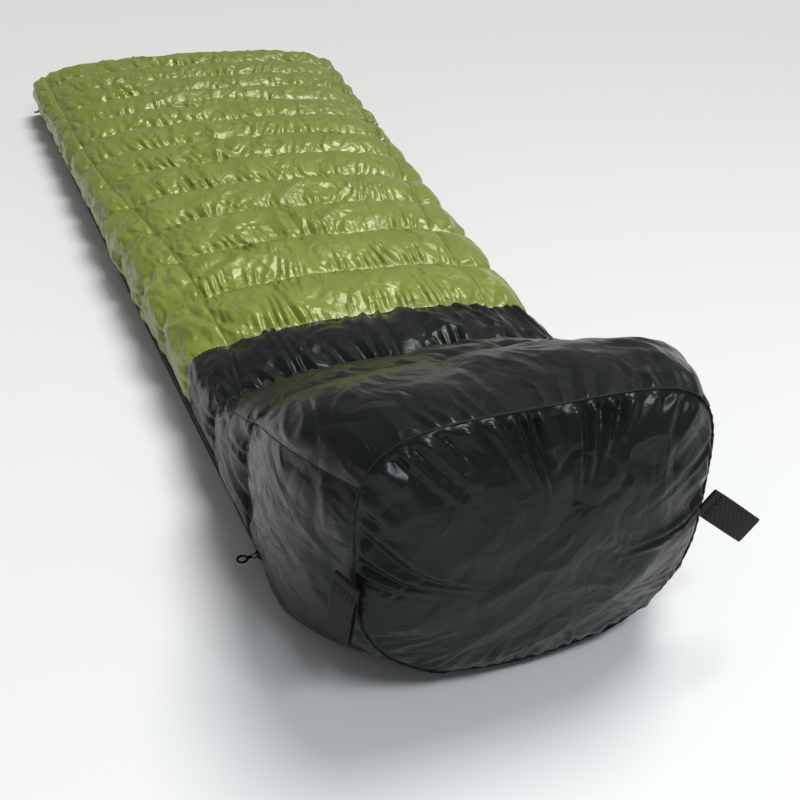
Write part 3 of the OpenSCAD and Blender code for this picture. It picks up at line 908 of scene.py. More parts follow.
def makeShell(part, atFoot, seed):
    p, held, marks, rows = shellGrid(part, atFoot, seed)
    side, top = part["sideCols"], part["topCols"]
    leftCap, topCap, rightCap = part["cap"]
    columns = [0, side, side + top * 0.2, side + top * 0.85, side + top, p.shape[1]]
    caps = [leftCap, leftCap * 1.5, topCap, topCap, rightCap, rightCap]
    cap = np.interp(np.arange(p.shape[1]), columns, caps)
    p = puff(p, held, part["growth"], dict(puffing, cap=cap[None] * loopFade(p)))
    p = refineBoth(p, marks, [side, side + top])
    rows = np.interp(np.arange(len(p)) / 2, np.arange(len(rows)), rows)
    marks = [2 * m for m in marks]
    side, top = 2 * side, 2 * top
    clear = loopFade(p)
    fade = seamFade(p.shape[:2], marks, [0, side, side + top, p.shape[1] - 1]) * clear
    p[:, :, 0] -= np.sign(p[:, :, 0]) * loopGap["back"] * (1 - clear)
    p = p + gridNormals(p) * (gathers(p, rows, marks, part["gather"], seed) * fade)[:, :, None]
    return aboveFloor(crinkled(p, part["facets"], seed, fade)), marks, side, top


footShell, footMarks, footSide, footTop = makeShell(footBox, True, 5)
report("foot box shell")
bodyShell, bodyMarks, bodySide, bodyTop = makeShell(body, False, 9)
# the body's first row lies on the foot box's last
footPlaces = np.linspace(0, 1, footShell.shape[1])
bodyShell[0] = sample(np.linspace(0, 1, bodyShell.shape[1]), footPlaces, footShell[-1])
report("body shell")


def panels(p, side, top, names, material):
    cuts = [(0, side), (side, side + top), (side + top, p.shape[1] - 1)]
    return [gridObject(n, p[:, a : b + 1], material) for n, (a, b) in zip(names, cuts)]


footLeft, footTopPiece, footRight = panels(
    footShell, footSide, footTop, ["footLeftShell", "footTopShell", "footRightShell"], blackShell
)
greenLeft, greenTop, greenRight = panels(
    bodyShell, bodySide, bodyTop, ["leftSideShell", "topShell", "rightSideShell"], greenShell
)
ridePiece(footLeft, stands=["foot_left_shell"])
ridePiece(footTopPiece, stands=["foot_top_shell", "foot_down_1", "foot_down_2", "foot_down_3"])
ridePiece(footRight, stands=["foot_right_shell"])
ridePiece(greenLeft, stands=["left_side_shell", "left_side_down", "left_baffles"])
topDown = [f"top_down_{k:02d}" for k in range(1, 13)]
ridePiece(greenTop, stands=["top_shell", "top_baffles"] + topDown)
ridePiece(greenRight, stands=["right_side_shell", "right_side_down", "right_baffles"])

# --- foot panel: a rounded, gathered dome
footPanel = {
    "cells": 84,
    "rim": 0.002,
    "bulge": 0.028,
    "growth": (1.085, 1.0, 1.06),
    "peak": 0.47,
    "cap": 0.012,
    "pleat": 0.0095,
    "pleatTurn": 0.135,
    "pleatWidth": 0.017,
    "reach": 0.050,
    "radius": 0.13,
    "near": 0.006,
    "lowShare": 0.5,
    "lowBlend": (0.02, 0.10),
    "dome": (4, 0.85),
    "drag": 0.0022,
    "dragSize": (0.20, 0.045),
    "dragBlend": 0.03,
    "facets": [(0.090, 0.0022)],
    "inset": 0.0036,
    "middle": 0.12,
}


def footRim(count):
    # the closed outline of the foot seam, from the left lower edge over the top and back underneath
    over = ring(quilt["firstRow"], 60, 140)
    x = np.linspace(over[-1, 0], over[0, 0], 80)[1:-1]
    under = np.stack([x, underHeight(x, 0.0)], -1)
    closed = np.concatenate([over, under, over[:1]])
    return spread(closed, count + 1)[:-1]


def outOfMiddle(rim):
    return unit(rim - [0, footPanel["middle"]])


def discGrid(n):
    # a square grid bent into a round one
    gx, gz = np.meshgrid(np.linspace(-1, 1, n), np.linspace(-1, 1, n))
    return gx * np.sqrt(1 - gz**2 / 2), gz * np.sqrt(1 - gx**2 / 2)


def footPanelGrid():
    n = footPanel["cells"] + 1
    rim = footRim(1600)
    rim = rim - outOfMiddle(rim) * footPanel["inset"]
    centre = np.array([0, quilt["footHeight"] * footPanel["peak"]])
    turn = np.arctan2(rim[:, 1] - centre[1], rim[:, 0] - centre[0])
    order = np.argsort(turn)
    turn, reach = turn[order], np.linalg.norm(rim - centre, axis=1)[order]
    dx, dz = discGrid(n)
    angle = np.arctan2(dz * quilt["footHeight"], dx * 2 * quilt["footHalf"])
    far = np.interp(angle, turn, reach, period=2 * np.pi)
    k = np.clip(np.sqrt(dx**2 + dz**2), 0, 1)
    p = np.empty((n, n, 3))
    p[:, :, 0] = centre[0] + k * far * np.cos(angle)
    p[:, :, 2] = centre[1] + k * far * np.sin(angle)
    start, run = footPanel["lowBlend"]
    low = mix(footPanel["lowShare"], 1.0, smooth((p[:, :, 2] - start) / run))
    steep, blunt = footPanel["dome"]
    p[:, :, 1] = seamY - footPanel["rim"] - footPanel["bulge"] * low * (1 - k**steep) ** blunt
    held = np.zeros((n, n), bool)
    held[[0, -1]] = held[:, [0, -1]] = True
    return p, held


def panelFolds(p):
    # pleats running in from the foot seam, strongest at the top, and long soft folds across the panel
    dx, dz = discGrid(len(p))
    turn = np.arctan2(dz, dx).reshape(-1)
    away = (footPanel["radius"] * (1 - np.sqrt(dx**2 + dz**2))).reshape(-1)
    spot = np.stack([np.cos(turn), np.sin(turn), 0 * turn], -1)
    slant = 0.7 * noise(spot * 1.3, 39) * away
    line = (turn * footPanel["pleatTurn"] + slant) / footPanel["pleatWidth"] + 0.9 * noise(spot * 3.4, 35)
    reach = footPanel["reach"] * np.clip(1 + 1.3 * noise(spot * 3.1, 36), 0.3, 2.0)
    strong = np.clip(0.8 + noise(spot * 4.3, 37), 0.15, 1.7) * (0.3 + 0.7 * smooth((spot[:, 1] + 0.1) / 0.5))
    rise = footPanel["pleat"] * (zigzag(line) - 0.45) * strong
    rise = rise * np.clip(1 - away / reach, 0, 1) * smooth(away / footPanel["near"])
    x, z = p.reshape(-1, 3)[:, [0, 2]].T
    long, short = footPanel["dragSize"]
    drag = np.stack([(x * 0.8 + z * 0.6) / long, (z * 0.8 - x * 0.6) / short, 0 * x], -1)
    rise += footPanel["drag"] * (ridged(drag, 38) - 0.4) * smooth(away / footPanel["dragBlend"])
    return rise.reshape(p.shape[:2])


panel, panelHeld = footPanelGrid()
panel = puff(panel, panelHeld, footPanel["growth"], dict(puffing, cap=footPanel["cap"]))
panel = refineBoth(panel, [], [])
last = panel.shape[0] - 1
rimFade = seamFade(panel.shape[:2], [0, last], [0, last])
panel = panel + gridNormals(panel) * (panelFolds(panel) * rimFade)[:, :, None]
panel = aboveFloor(crinkled(panel, footPanel["facets"], 31, rimFade))
footEnd = gridObject("footPanelShell", panel, blackShell)
ridePiece(footEnd, stands=["foot_panel_shell", "foot_panel_down"])
report("foot panel")

# --- underside, hem, linings and draft tube
underLayer = {
    "rows": 390,
    "cols": 96,
    "tuck": 0.009,
    "curl": 0.004,
    "groove": 0.0035,
    "grooveReach": 0.008,
    "edgeBlend": 0.03,
    "folds": 0.0006,
}


def undersideGrid():
    s = np.linspace(-0.001, tubeLen, underLayer["rows"])
    u = np.linspace(-1, 1, underLayer["cols"])
    seams = np.concatenate([footSeams, bodySeams[1:]])
    p = np.empty((len(s), len(u), 3))
    for i, place in enumerate(s):
        w = ring(max(place, quilt["firstRow"]), 4, 4)[-1, 0]
        nearest = np.abs(seams - place).min()
        groove = underLayer["groove"] * math.exp(-nearest / underLayer["grooveReach"])
        x = u * w
        away = w - np.abs(x)
        curl = underLayer["curl"] * np.clip(1 - away / underLayer["tuck"], 0, 1) ** 2
        p[i, :, 0] = x
        p[i, :, 1] = place + seamY
        share = footShare(max(place, 0.0))
        groove = groove * smooth(away / underLayer["edgeBlend"])
        p[i, :, 2] = underHeight(x, max(place, 0.0)) + (1 - share) * curl + groove
        p[i, [0, -1], 2] = mix(quilt["floorEdge"] + 0.001, underHeight(x[0], 0.0), share)
    flat = p.reshape(-1, 3)
    folds = ridged(flat / 0.03, 71) + ridged(flat / 0.012, 72)
    p[:, :, 2] += underLayer["folds"] * folds.reshape(p.shape[:2])
    return p


underRows = undersideGrid()
underside = gridObject("underShell", underRows, blackShell, flip=False)
ridePiece(underside, stands=["under_shell", "under_down", "under_baffles"])

innerLayer = {
    "rowStep": 0.0075,
    "cols": 181,
    "corner": 0.022,
    "puff": 0.006,
    "puffReach": 0.02,
    "over": 0.045,
    "middle": 0.05,
    "folds": (0.0022, 0.0010),
    "topEdge": 0.008,
    "floorEdge": 0.010,
}


def hollowLoop(s):
    # the rounded outline of the sleeping space, from the left wall's lower edge over the top and back
    w = edgeWidth(max(s, 0.0)) - quilt["sideLoft"]
    top = height(s) - quilt["topLoft"]
    low = quilt["underLoft"]
    r = innerLayer["corner"]
    out = [np.array([[-w, mix(innerLayer["over"], top - r, t)] for t in np.linspace(0, 1, 12)])]
    arc = np.linspace(0, math.pi / 2, 9)[1:]
    out.append(np.stack([-w + r - r * np.cos(arc), top - r + r * np.sin(arc)], -1))
    out.append(np.stack([np.linspace(-w + r, w - r, 60)[1:], np.full(59, top)], -1))
    out.append(np.stack([w - r + r * np.sin(arc), top - r + r * np.cos(arc)], -1))
    small = min(r, (top - low) / 2 - 0.002)
    out.append(np.stack([np.full(9, w), np.linspace(top - r, low + small, 10)[1:]], -1))
    out.append(np.stack([w - small + small * np.cos(arc), low + small - small * np.sin(arc)], -1))
    out.append(np.stack([np.linspace(w - small, -w, 60)[1:], np.full(59, low)], -1))
    return spread(np.concatenate(out), innerLayer["cols"])


def innerGrid(start, end, seams, seed):
    s = np.linspace(start, end, max(8, round((end - start) / innerLayer["rowStep"])))
    p = np.empty((len(s), innerLayer["cols"], 3))
    for i, place in enumerate(s):
        p[i, :, [0, 2]] = hollowLoop(place).T
        p[i, :, 1] = place + seamY
    n = gridNormals(p)
    centre = np.array([0, 0, innerLayer["middle"]])
    n = np.where((n * (centre - p * [1, 0, 1])).sum(2, keepdims=True) < 0, -n, n)
    gap = np.abs(seams[None, :] - s[:, None]).min(1)
    rise = innerLayer["puff"] * (1 - np.exp(-gap / innerLayer["puffReach"]))[:, None]
    flat = p.reshape(-1, 3)
    long, small = innerLayer["folds"]
    folds = long * ridged(flat / [0.02, 0.07, 0.02], seed).reshape(p.shape[:2])
    folds += small * ridged(flat / 0.016, seed + 1).reshape(p.shape[:2])
    column = np.arange(innerLayer["cols"])
    edge = np.clip(np.minimum(column, column[::-1]) / 6, 0, 1)
    return p + n * ((rise + folds) * edge[None, :])[:, :, None]


bodyInner = innerGrid(footLen, tubeLen, bodySeams, 41)
footInner = innerGrid(0.002, footLen, footSeams, 47)


def innerPanels(p, names, standing):
    # left wall, top, right wall, floor
    row = p[len(p) // 2]
    x, z = row[:, 0], row[:, 2]
    topStart = int(np.argmax(z > z.max() - innerLayer["topEdge"]))
    topEnd = topStart + int(np.argmax(x[topStart:] > x.max() - innerLayer["topEdge"]))
    wallEnd = topEnd + int(np.argmax(z[topEnd:] < z.min() + innerLayer["floorEdge"]))
    cuts = [0, topStart, topEnd, wallEnd, innerLayer["cols"] - 1]
    for name, stand, a, b in zip(names, standing, cuts[:-1], cuts[1:]):
        piece = gridObject(name, p[:, a : b + 1], liningCloth, flip=False)
        ridePiece(piece, stands=stand)


innerPanels(
    bodyInner,
    ["leftLining", "topLining", "rightLining", "underLining"],
    [["left_lining"], ["top_lining"], ["right_lining"], ["under_lining"]],
)
innerPanels(
    footInner,
    ["footLeftLining", "footTopLining", "footRightLining", "footUnderLining"],
    [["foot_left_lining"], ["foot_top_lining"], ["foot_right_lining"], []],
)


def innerEnd():
    # the lining behind the foot panel
    line = hollowLoop(0.002)
    centre = line.mean(0)
    k = np.linspace(0, 1, 24)[:, None]
    p = np.empty((len(k), len(line), 3))
    p[:, :, 0] = centre[0] + (line[:, 0] - centre[0]) * k
    p[:, :, 2] = centre[1] + (line[:, 1] - centre[1]) * k
    p[:, :, 1] = seamY + 0.001 + 0.004 * (1 - k**2)
    return p


footEndLining = gridObject("footPanelLining", innerEnd(), liningCloth, flip=False)
ridePiece(footEndLining, stands=["foot_panel_lining"])

draftTube = {
    "rows": 320,
    "height": 0.021,
    "halfHeight": 0.017,
    "powers": (0.62, 0.7),
    "dip": 0.05,
    "fold": 0.0012,
}


def draftGrid():
    # the padded tube behind the zip
    side = quilt["sideLoft"]
    t = np.linspace(0, 2 * math.pi, 41)[:-1]
    mid = np.array([-side / 2 - 0.0005, draftTube["height"]])
    half = np.array([side / 2 - 0.0025, draftTube["halfHeight"]])
    wide, tall = draftTube["powers"]
    shape = mid + half * np.stack([signedPower(np.cos(t), wide), signedPower(np.sin(t), tall)], -1)
    s = np.linspace(quilt["zipStart"] + 0.001, tubeLen - 0.0004, draftTube["rows"])
    p = np.empty((len(s), len(shape), 3))
    for i, place in enumerate(s):
        shrink = min(1.0, 0.3 + (place - s[0]) / 0.02, 0.3 + (s[-1] - place) / 0.01)
        local = mid + (shape - mid) * shrink
        wave = 1 - draftTube["dip"] * math.cos(2 * math.pi * (place - footLen) / quilt["chamberLen"]) ** 8
        local = mid + (local - mid) * wave
        p[i, :, 0] = -edgeWidth(place) - local[:, 0] * math.cos(taper)
        p[i, :, 1] = place + seamY - local[:, 0] * math.sin(taper)
        p[i, :, 2] = local[:, 1]
    folds = ridged(p.reshape(-1, 3) / [0.02, 0.045, 0.02], 61) - 0.5
    p = p + gridNormals(p) * (draftTube["fold"] * folds.reshape(p.shape[:2]))[:, :, None]
    p[:, :, 2] = np.maximum(p[:, :, 2], 0.002)
    return p


draft = gridObject("draftTube", draftGrid(), liningCloth, closed=True)
ridePiece(draft, stands=["draft_tube_shell", "draft_tube_down"])

headHem = {"bulge": 0.0105, "cols": 420, "steps": 13, "middle": 0.052, "ripple": 0.12}


def hemGrid():
    # bound edge at the mouth: from the shell's last row round to the lining's
    count = headHem["cols"]
    outer = np.concatenate([bodyShell[-1], underRows[-1][::-1], bodyShell[-1][:1]])
    inner = np.concatenate([bodyInner[-1], bodyInner[-1][:1]])
    a = spread(outer, count + 1)[:-1]

    def angle(q):
        return np.arctan2((q[:, 2] - headHem["middle"]) * 6, q[:, 0])

    order = np.argsort(angle(inner))
    near = sample(angle(a), angle(inner)[order], inner[order], period=2 * np.pi)
    steps = np.linspace(0, math.pi, headHem["steps"])
    p = np.empty((len(steps), count, 3))
    for k, t in enumerate(steps):
        p[k] = mix(a, near, (1 - math.cos(t)) / 2)
        spots = np.stack([np.arange(count) * 0.35, np.full(count, t), np.zeros(count)], -1)
        p[k, :, 1] += headHem["bulge"] * math.sin(t) ** 0.6 * (1 + headHem["ripple"] * noise(spots, 81))
    return p


hem = gridObject("headHem", hemGrid(), bindingCloth, closed=True)
ridePiece(hem, stands=["head_hem"])
report("underside, linings, draft tube and hem")

# --- seams: stitches on every sewn line, and a cord of folded fabric round the foot panel
stitches = {"pitch": 0.0042, "length": 0.0030, "radius": 0.00042, "lift": 0.0003}


def stitchRow(points, normals, made):
    along = lengths(points)
    starts = np.arange(stitches["pitch"] / 2, along[-1] - stitches["length"], stitches["pitch"])
    n = unit(sample(starts + stitches["length"] / 2, along, normals))
    a = sample(starts, along, points) + n * stitches["lift"]
    b = sample(starts + stitches["length"], along, points) + n * stitches["lift"]
    side = np.cross(unit(b - a), n)
    rings = []
    for share, size in ((0.0, 0.35), (0.25, 1.0), (0.75, 1.0), (1.0, 0.35)):
        c = a + (b - a) * share
        for k in range(6):
            t = k * math.pi / 3
            rings.append(c + (n * math.sin(t) + side * math.cos(t)) * stitches["radius"] * size)
    made.append(np.stack(rings, 1))


def repeatedFaces(quads, pieces, points):
    # the same faces for each of many small pieces with the same number of points
    return (np.arange(pieces)[:, None, None] * points + np.asarray(quads)[None]).reshape(-1, len(quads[0]))


def stitchMesh(name, rows, material):
    made = []
    for points, normals in rows:
        stitchRow(points, normals, made)
    verts = np.concatenate(made)
    faces = repeatedFaces(ringFaces(4, 6), len(verts), verts.shape[1])
    return newMesh(name, verts.reshape(-1, 3), faces, material)


def stitchPiece(name, rows, material):
    return ridePiece(facingOut(stitchMesh(name, rows, material)))


def outwardNormals(p):
    n = gridNormals(p)
    away = (p - np.array([0, 0, 0.06])) * [1, 0, 1]
    return np.where((n * away).sum(2, keepdims=True) < 0, -n, n)


def sewnRows(p, marks, side, top):
    n = outwardNormals(p)
    rows = [(p[m], n[m]) for m in marks]
    return rows + [(p[:, c], n[:, c]) for c in (side, side + top)]


blackRows = sewnRows(footShell, footMarks[1:], footSide, footTop)
greenRows = sewnRows(bodyShell, bodyMarks[1:-1], bodySide, bodyTop)
stitchPiece("blackStitches", blackRows, blackThread)
stitchPiece("greenStitches", greenRows, greenThread)

footSeam = {
    "radius": 0.0008,
    "inset": 0.0036,
    "gather": 0.0005,
    "points": 900,
    "behind": 0.0004,
    "lowest": 0.0022,
}


def tubeAlong(name, path, radius, material, sides=8, closed=False):
    path = np.asarray(path, float)
    ahead = unit(np.roll(path, -1, 0) - np.roll(path, 1, 0) if closed else np.gradient(path, axis=0))
    guide = np.where(np.abs(ahead[:, 1:2]) > 0.9, [[1.0, 0, 0]], [[0, 1.0, 0]])
    side = unit(np.cross(ahead, guide))
    up = np.cross(side, ahead)
    t = np.linspace(0, 2 * math.pi, sides + 1)[:-1]
    r = np.broadcast_to(np.asarray(radius, float), (len(path),))[:, None, None]
    around = side[:, None] * np.cos(t)[None, :, None] + up[:, None] * np.sin(t)[None, :, None]
    p = path[:, None] + r * around
    if not closed:
        p = np.concatenate([p, path[:1, None].repeat(sides, 1), path[-1:, None].repeat(sides, 1)])
    return newMesh(name, p.reshape(-1, 3), gridFaces(len(path), sides, closed=True, looped=closed), material)


def seamCordPath(wave):
    rim = footRim(footSeam["points"])
    rim = rim - outOfMiddle(rim) * (footSeam["inset"] - footSeam["gather"] * wave)[:, None]
    y = np.full(len(rim), seamY - footPanel["rim"] - footSeam["behind"])
    return np.stack([rim[:, 0], y, np.maximum(rim[:, 1], footSeam["lowest"])], -1)


cordSpots = np.stack([np.arange(footSeam["points"]) * 0.21] + [np.zeros(footSeam["points"])] * 2, -1)
cordWave = noise(cordSpots, 91)
cordRadius = footSeam["radius"] * (1 + 0.25 * cordWave)
seamCord = tubeAlong("footSeamBinding", seamCordPath(cordWave), cordRadius, bindingCloth, 8, True)
ridePiece(seamCord, stands=["foot_seam_tape"])
report("seams")

# --- zip: coils, sliders and pulls; the tapes, facings and stops are the frame's own pieces
zipParts = {"toothPitch": 0.00165, "slot": 0.0016, "coil": 0.0025, "startGap": 0.0043, "endGap": 0.0143}
coilTooth = {
    "reach": (-0.00045, 0.0002, 0.0014, zipParts["slot"] / 2 + zipParts["coil"]),
    "depth": ((0.00375, 0.00035), (0.00360, 0.00062), (0.0037, 0.00052), (0.0036, 0.0005)),
    "thick": (0.00052, 0.00068, 0.0005, 0.0004),
}


def zipPlace(s, out, up):
    # a point beside the zip line: out from the floor edge, up from the middle of the chain
    return np.stack(
        [
            -edgeWidth(s) - out * math.cos(taper),
            s + seamY - out * math.sin(taper),
            quilt["zipHeight"] + up + 0 * s,
        ],
        -1,
    )


def coilRow(name, way, stands):
    # one tooth is a bent loop of coil; the rows reach past each other in the middle
    pitch = zipParts["toothPitch"]
    start, end = quilt["zipStart"] + zipParts["startGap"], tubeLen - zipParts["endGap"]
    at = np.arange(start, end - pitch, pitch) + (pitch / 2 if way > 0 else 0)
    at = at[at < end - 0.0008]
    rings = []
    for up, (mid, half), wide in zip(coilTooth["reach"], coilTooth["depth"], coilTooth["thick"]):
        for k in range(6):
            t = k * math.pi / 3
            rings.append(zipPlace(at + wide * math.cos(t), mid + half * math.sin(t), way * up))
    verts = np.stack(rings, 1)
    quads = ringFaces(4, 6).tolist() + [[0, 5, 4, 3], [0, 3, 2, 1], [18, 19, 20, 21], [18, 21, 22, 23]]
    faces = repeatedFaces(quads, len(verts), verts.shape[1])
    piece = facingOut(newMesh(name, verts.reshape(-1, 3), faces, coilNylon))
    return ridePiece(piece, stands=stands)


coilRow("upperZipCoil", 1, ["upper_zip_coil"])
coilRow("lowerZipCoil", -1, ["lower_zip_coil"])


def dress(nodeName, material):
    nodes[nodeName].data.materials.clear()
    nodes[nodeName].data.materials.append(material)


for nodeName in ("upper_zip_tape", "lower_zip_tape", "upper_zip_facing", "lower_zip_facing"):
    dress(nodeName, zipTapeCloth)
for nodeName in ("zip_bottom_stop", "zip_top_stops"):
    dress(nodeName, zipMetal)


def zipMatrix(s, out):
    # local X runs out from the quilt, Y towards the head along the zip, Z up
    c, n = math.cos(taper), math.sin(taper)
    place = zipPlace(np.array(s), out, 0.0)
    return Matrix(((-c, -n, 0, place[0]), (-n, c, 0, place[1]), (0, 0, 1, place[2]), (0, 0, 0, 1)))


def bevelled(obj, width, segments, angle):
    edge = obj.modifiers.new("edge", "BEVEL")
    edge.width = width
    edge.segments = segments
    edge.limit_method = "ANGLE"
    edge.angle_limit = angle
    edge.harden_normals = False
    return obj


def solidFromOutline(name, outline, low, high, bevel, material):
    # outline in the local Y-Z plane, given a thickness along local X and rounded edges
    n = len(outline)
    verts = [(low, y, z) for y, z in outline] + [(high, y, z) for y, z in outline]
    faces = [list(range(n))[::-1], list(range(n, 2 * n))]
    faces += [[k, (k + 1) % n, n + (k + 1) % n, n + k] for k in range(n)]
    return bevelled(newMesh(name, verts, faces, material), bevel, 3, 0.7)


def bakeModifiers(obj):
    made = bpy.data.meshes.new_from_object(obj.evaluated_get(bpy.context.evaluated_depsgraph_get()))
    obj.modifiers.clear()
    obj.data = made
    return obj


def joined(name, parts):
    verts, faces = [], []
    material = parts[0].data.materials[0]
    bpy.context.view_layer.update()
    for part in parts:
        bakeModifiers(part)
        faces += [[len(verts) + i for i in f.vertices] for f in part.data.polygons]
        verts += [part.matrix_world @ v.co for v in part.data.vertices]
    for part in parts:
        bpy.data.objects.remove(part)
    obj = newMesh(name, verts, faces, material)
    obj.data.set_sharp_from_angle(angle=math.radians(38))
    return facingOut(obj)


sliderShape = {
    "length": 0.012,
    "half": 0.0051,
    "nose": 0.0030,
    "corner": 0.0035,
    "back": (0.0005, 0.0017),
    "front": (0.0047, 0.0061),
    "flange": (0.0033, 0.0050),
    "flangeIn": 0.0039,
    "crown": (0.0060, 0.0028, 0.0047),
    "crownBar": (0.0004, 0.0014),
}


def crownBar():
    # an arched bar over the pull's pin
    root, rise, reach = sliderShape["crown"]
    thick, wide = sliderShape["crownBar"]
    u = np.linspace(0, math.pi, 15)
    path = np.stack([root + rise * np.sin(u) ** 0.6, -reach * np.cos(u), 0 * u], -1)
    last = len(path) - 1
    section = ((1, 0.75), (0.6, 1), (-1, 1), (-1, -1), (0.6, -1), (1, -0.75))
    across = []
    for k, c in enumerate(path):
        ahead = unit(path[min(k + 1, last)] - path[max(k - 1, 0)])
        out = np.array([ahead[1], -ahead[0], 0])
        across.append([c + out * thick * a + np.array([0, 0, wide * b]) for a, b in section])
    return gridObject("crown", np.array(across), zipMetal, closed=True)


def makeSlider(name, s, towardsHead, nodeName):
    half, length = sliderShape["half"], sliderShape["length"] / 2
    nose, corner = sliderShape["nose"], sliderShape["corner"]
    way = 1 if towardsHead else -1
    t = np.linspace(-math.pi / 2, math.pi / 2, 9)
    outline = [(way * (length - corner + corner * math.cos(a)), half * math.sin(a) * 0.98) for a in t]
    waist, end = -way * length * 0.55, -way * length
    outline += [(waist, half), (end, nose), (end, -nose), (waist, -half)]
    outline = outline[::way]
    made = [
        solidFromOutline("plate", outline, *sliderShape["back"], 0.0004, zipMetal),
        solidFromOutline("plate", outline, *sliderShape["front"], 0.0005, zipMetal),
    ]
    for side in (-1, 1):
        a, b = sorted((side * sliderShape["flangeIn"], side * half))
        flange = [(-length * 0.75, a), (length * 0.7, a), (length * 0.7, b), (-length * 0.75, b)]
        made.append(solidFromOutline("flange", flange, *sliderShape["flange"], 0.0002, zipMetal))
    made.append(crownBar())
    for part in made:
        part.matrix_world = zipMatrix(s, 0.0)
    return ridePiece(joined(name, made), nodeName, [nodeName])


pullShape = {
    "length": 0.015,
    "ring": 0.0045,
    "wire": 0.00125,
    "ringHalf": 0.0009,
    "stem": ((0.0058, 0.0010), (0.0078, 0.0016), (0.0105, 0.0020)),
    "stemHalf": 0.0008,
    "fork": ((0.0, 0.0024), (0.003, 0.0025), (0.0050, 0.0022), (0.0066, 0.0008), (0.0072, 0.0)),
    "forkRadius": 0.00055,
    "pinHalf": 0.0028,
    "pinRadius": 0.0006,
    "out": 0.0070,
}


def pullRing():
    wire, half = pullShape["wire"], pullShape["ringHalf"]
    a = np.linspace(0, 2 * math.pi, 49)[:-1, None]
    b = np.linspace(0, 2 * math.pi, 13)[None, :-1]
    radial = pullShape["ring"] + wire * signedPower(np.cos(b), 0.8)
    flat = half * signedPower(np.sin(b), 0.7) + 0 * a
    p = np.stack([pullShape["length"] + radial * np.cos(a), radial * np.sin(a), flat], -1)
    return newMesh("ring", p.reshape(-1, 3), gridFaces(48, 12, closed=True, looped=True), zipMetal)


def pullStem():
    half = pullShape["stemHalf"]
    outline = list(pullShape["stem"]) + [(x, -y) for x, y in pullShape["stem"][::-1]]
    n = len(outline)
    verts = [(x, y, z) for z in (-half, half) for x, y in outline]
    faces = [list(range(n)), list(range(n, 2 * n))[::-1]]
    faces += [[k, k + n, (k + 1) % n + n, (k + 1) % n] for k in range(n)]
    return bevelled(newMesh("stem", verts, faces, zipMetal), 0.0003, 2, math.radians(30))


def makePull(name, s, turn, nodeName):
    # stem with a forked end round the crown, and a flat-sided ring to hook a finger or cord in
    parts = [pullRing(), pullStem()]
    for side in (-1, 1):
        path = [(x, 0, side * z) for x, z in pullShape["fork"]]
        parts.append(tubeAlong("fork", path, pullShape["forkRadius"], zipMetal, 10))
    pin = [(0, 0, z) for z in np.linspace(-pullShape["pinHalf"], pullShape["pinHalf"], 7)]
    parts.append(tubeAlong("pin", pin, pullShape["pinRadius"], zipMetal, 12))
    place = zipPlace(np.array(s), pullShape["out"], 0.0)
    turned = Matrix.Rotation(math.pi + taper + math.radians(turn), 4, "Z")
    for part in parts:
        part.matrix_world = Matrix.Translation(Vector(place)) @ turned
    return ridePiece(joined(name, parts), nodeName, [nodeName])


lowerAt = quilt["zipStart"] + 0.025
upperAt = tubeLen - zipParts["endGap"] - sliderShape["length"]
makeSlider("lowerSlider", lowerAt, False, "lower_slider")
makeSlider("upperSlider", upperAt, True, "upper_slider")
makePull("lowerPull", lowerAt, 0, "lower_pull")
makePull("upperPull", upperAt, 60, "upper_pull")
report("zip")

# --- hang loops: webbing folded back on itself
loops = {
    "width": 0.025,
    "thick": 0.0013,
    "gap": 0.0016,
    "length": 0.060,
    "height": 0.135,
    "sewn": 0.009,
    "ribs": 11,
    "ribHeight": 0.00004,
    "rootGap": 0.0025,
    "behind": 0.003,
    "bow": 0.5,
    "sway": 0.0006,
    "edgeWobble": 0.00018,
    "tackAt": (0.0055, 0.0085),
    "tackHalf": 0.0112,
}
loopX = quilt["footHalf"] + quilt["footSwell"] + loops["rootGap"]
loopY = seamY - loops["behind"]


def loopLine():
    # the folded band seen from its edge: out, round the fold and back
    thick, full = loops["thick"], loops["length"]
    r = (loops["gap"] + thick) / 2
    fold = full - r - thick / 2
    run = []
    for x in np.linspace(-0.004, fold, 46):
        apart = smooth((x - loops["sewn"] * 0.4) / loops["sewn"])
        bow = 1 + loops["bow"] * math.sin(math.pi * min(1, max(0, x / full)))
        run.append((x, -mix(thick * 0.5, r * bow, apart)))
    back = [(x, -y) for x, y in run[::-1]]
    turn = [(fold + r * math.sin(a), -r * math.cos(a)) for a in np.linspace(0, math.pi, 14)[1:-1]]
    return np.array(run + turn + back)


def bandProfile():
    # the band cut across: ribbed on both faces, thinner at its edges
    across = np.linspace(-1, 1, 45)
    ribs = loops["ribHeight"] * np.cos(across * math.pi * loops["ribs"])
    half = loops["thick"] / 2 * np.clip(1 - np.abs(across) ** 14, 0.25, 1) + ribs
    return np.concatenate([np.stack([across, half], -1), np.stack([across, -half], -1)[::-1]])


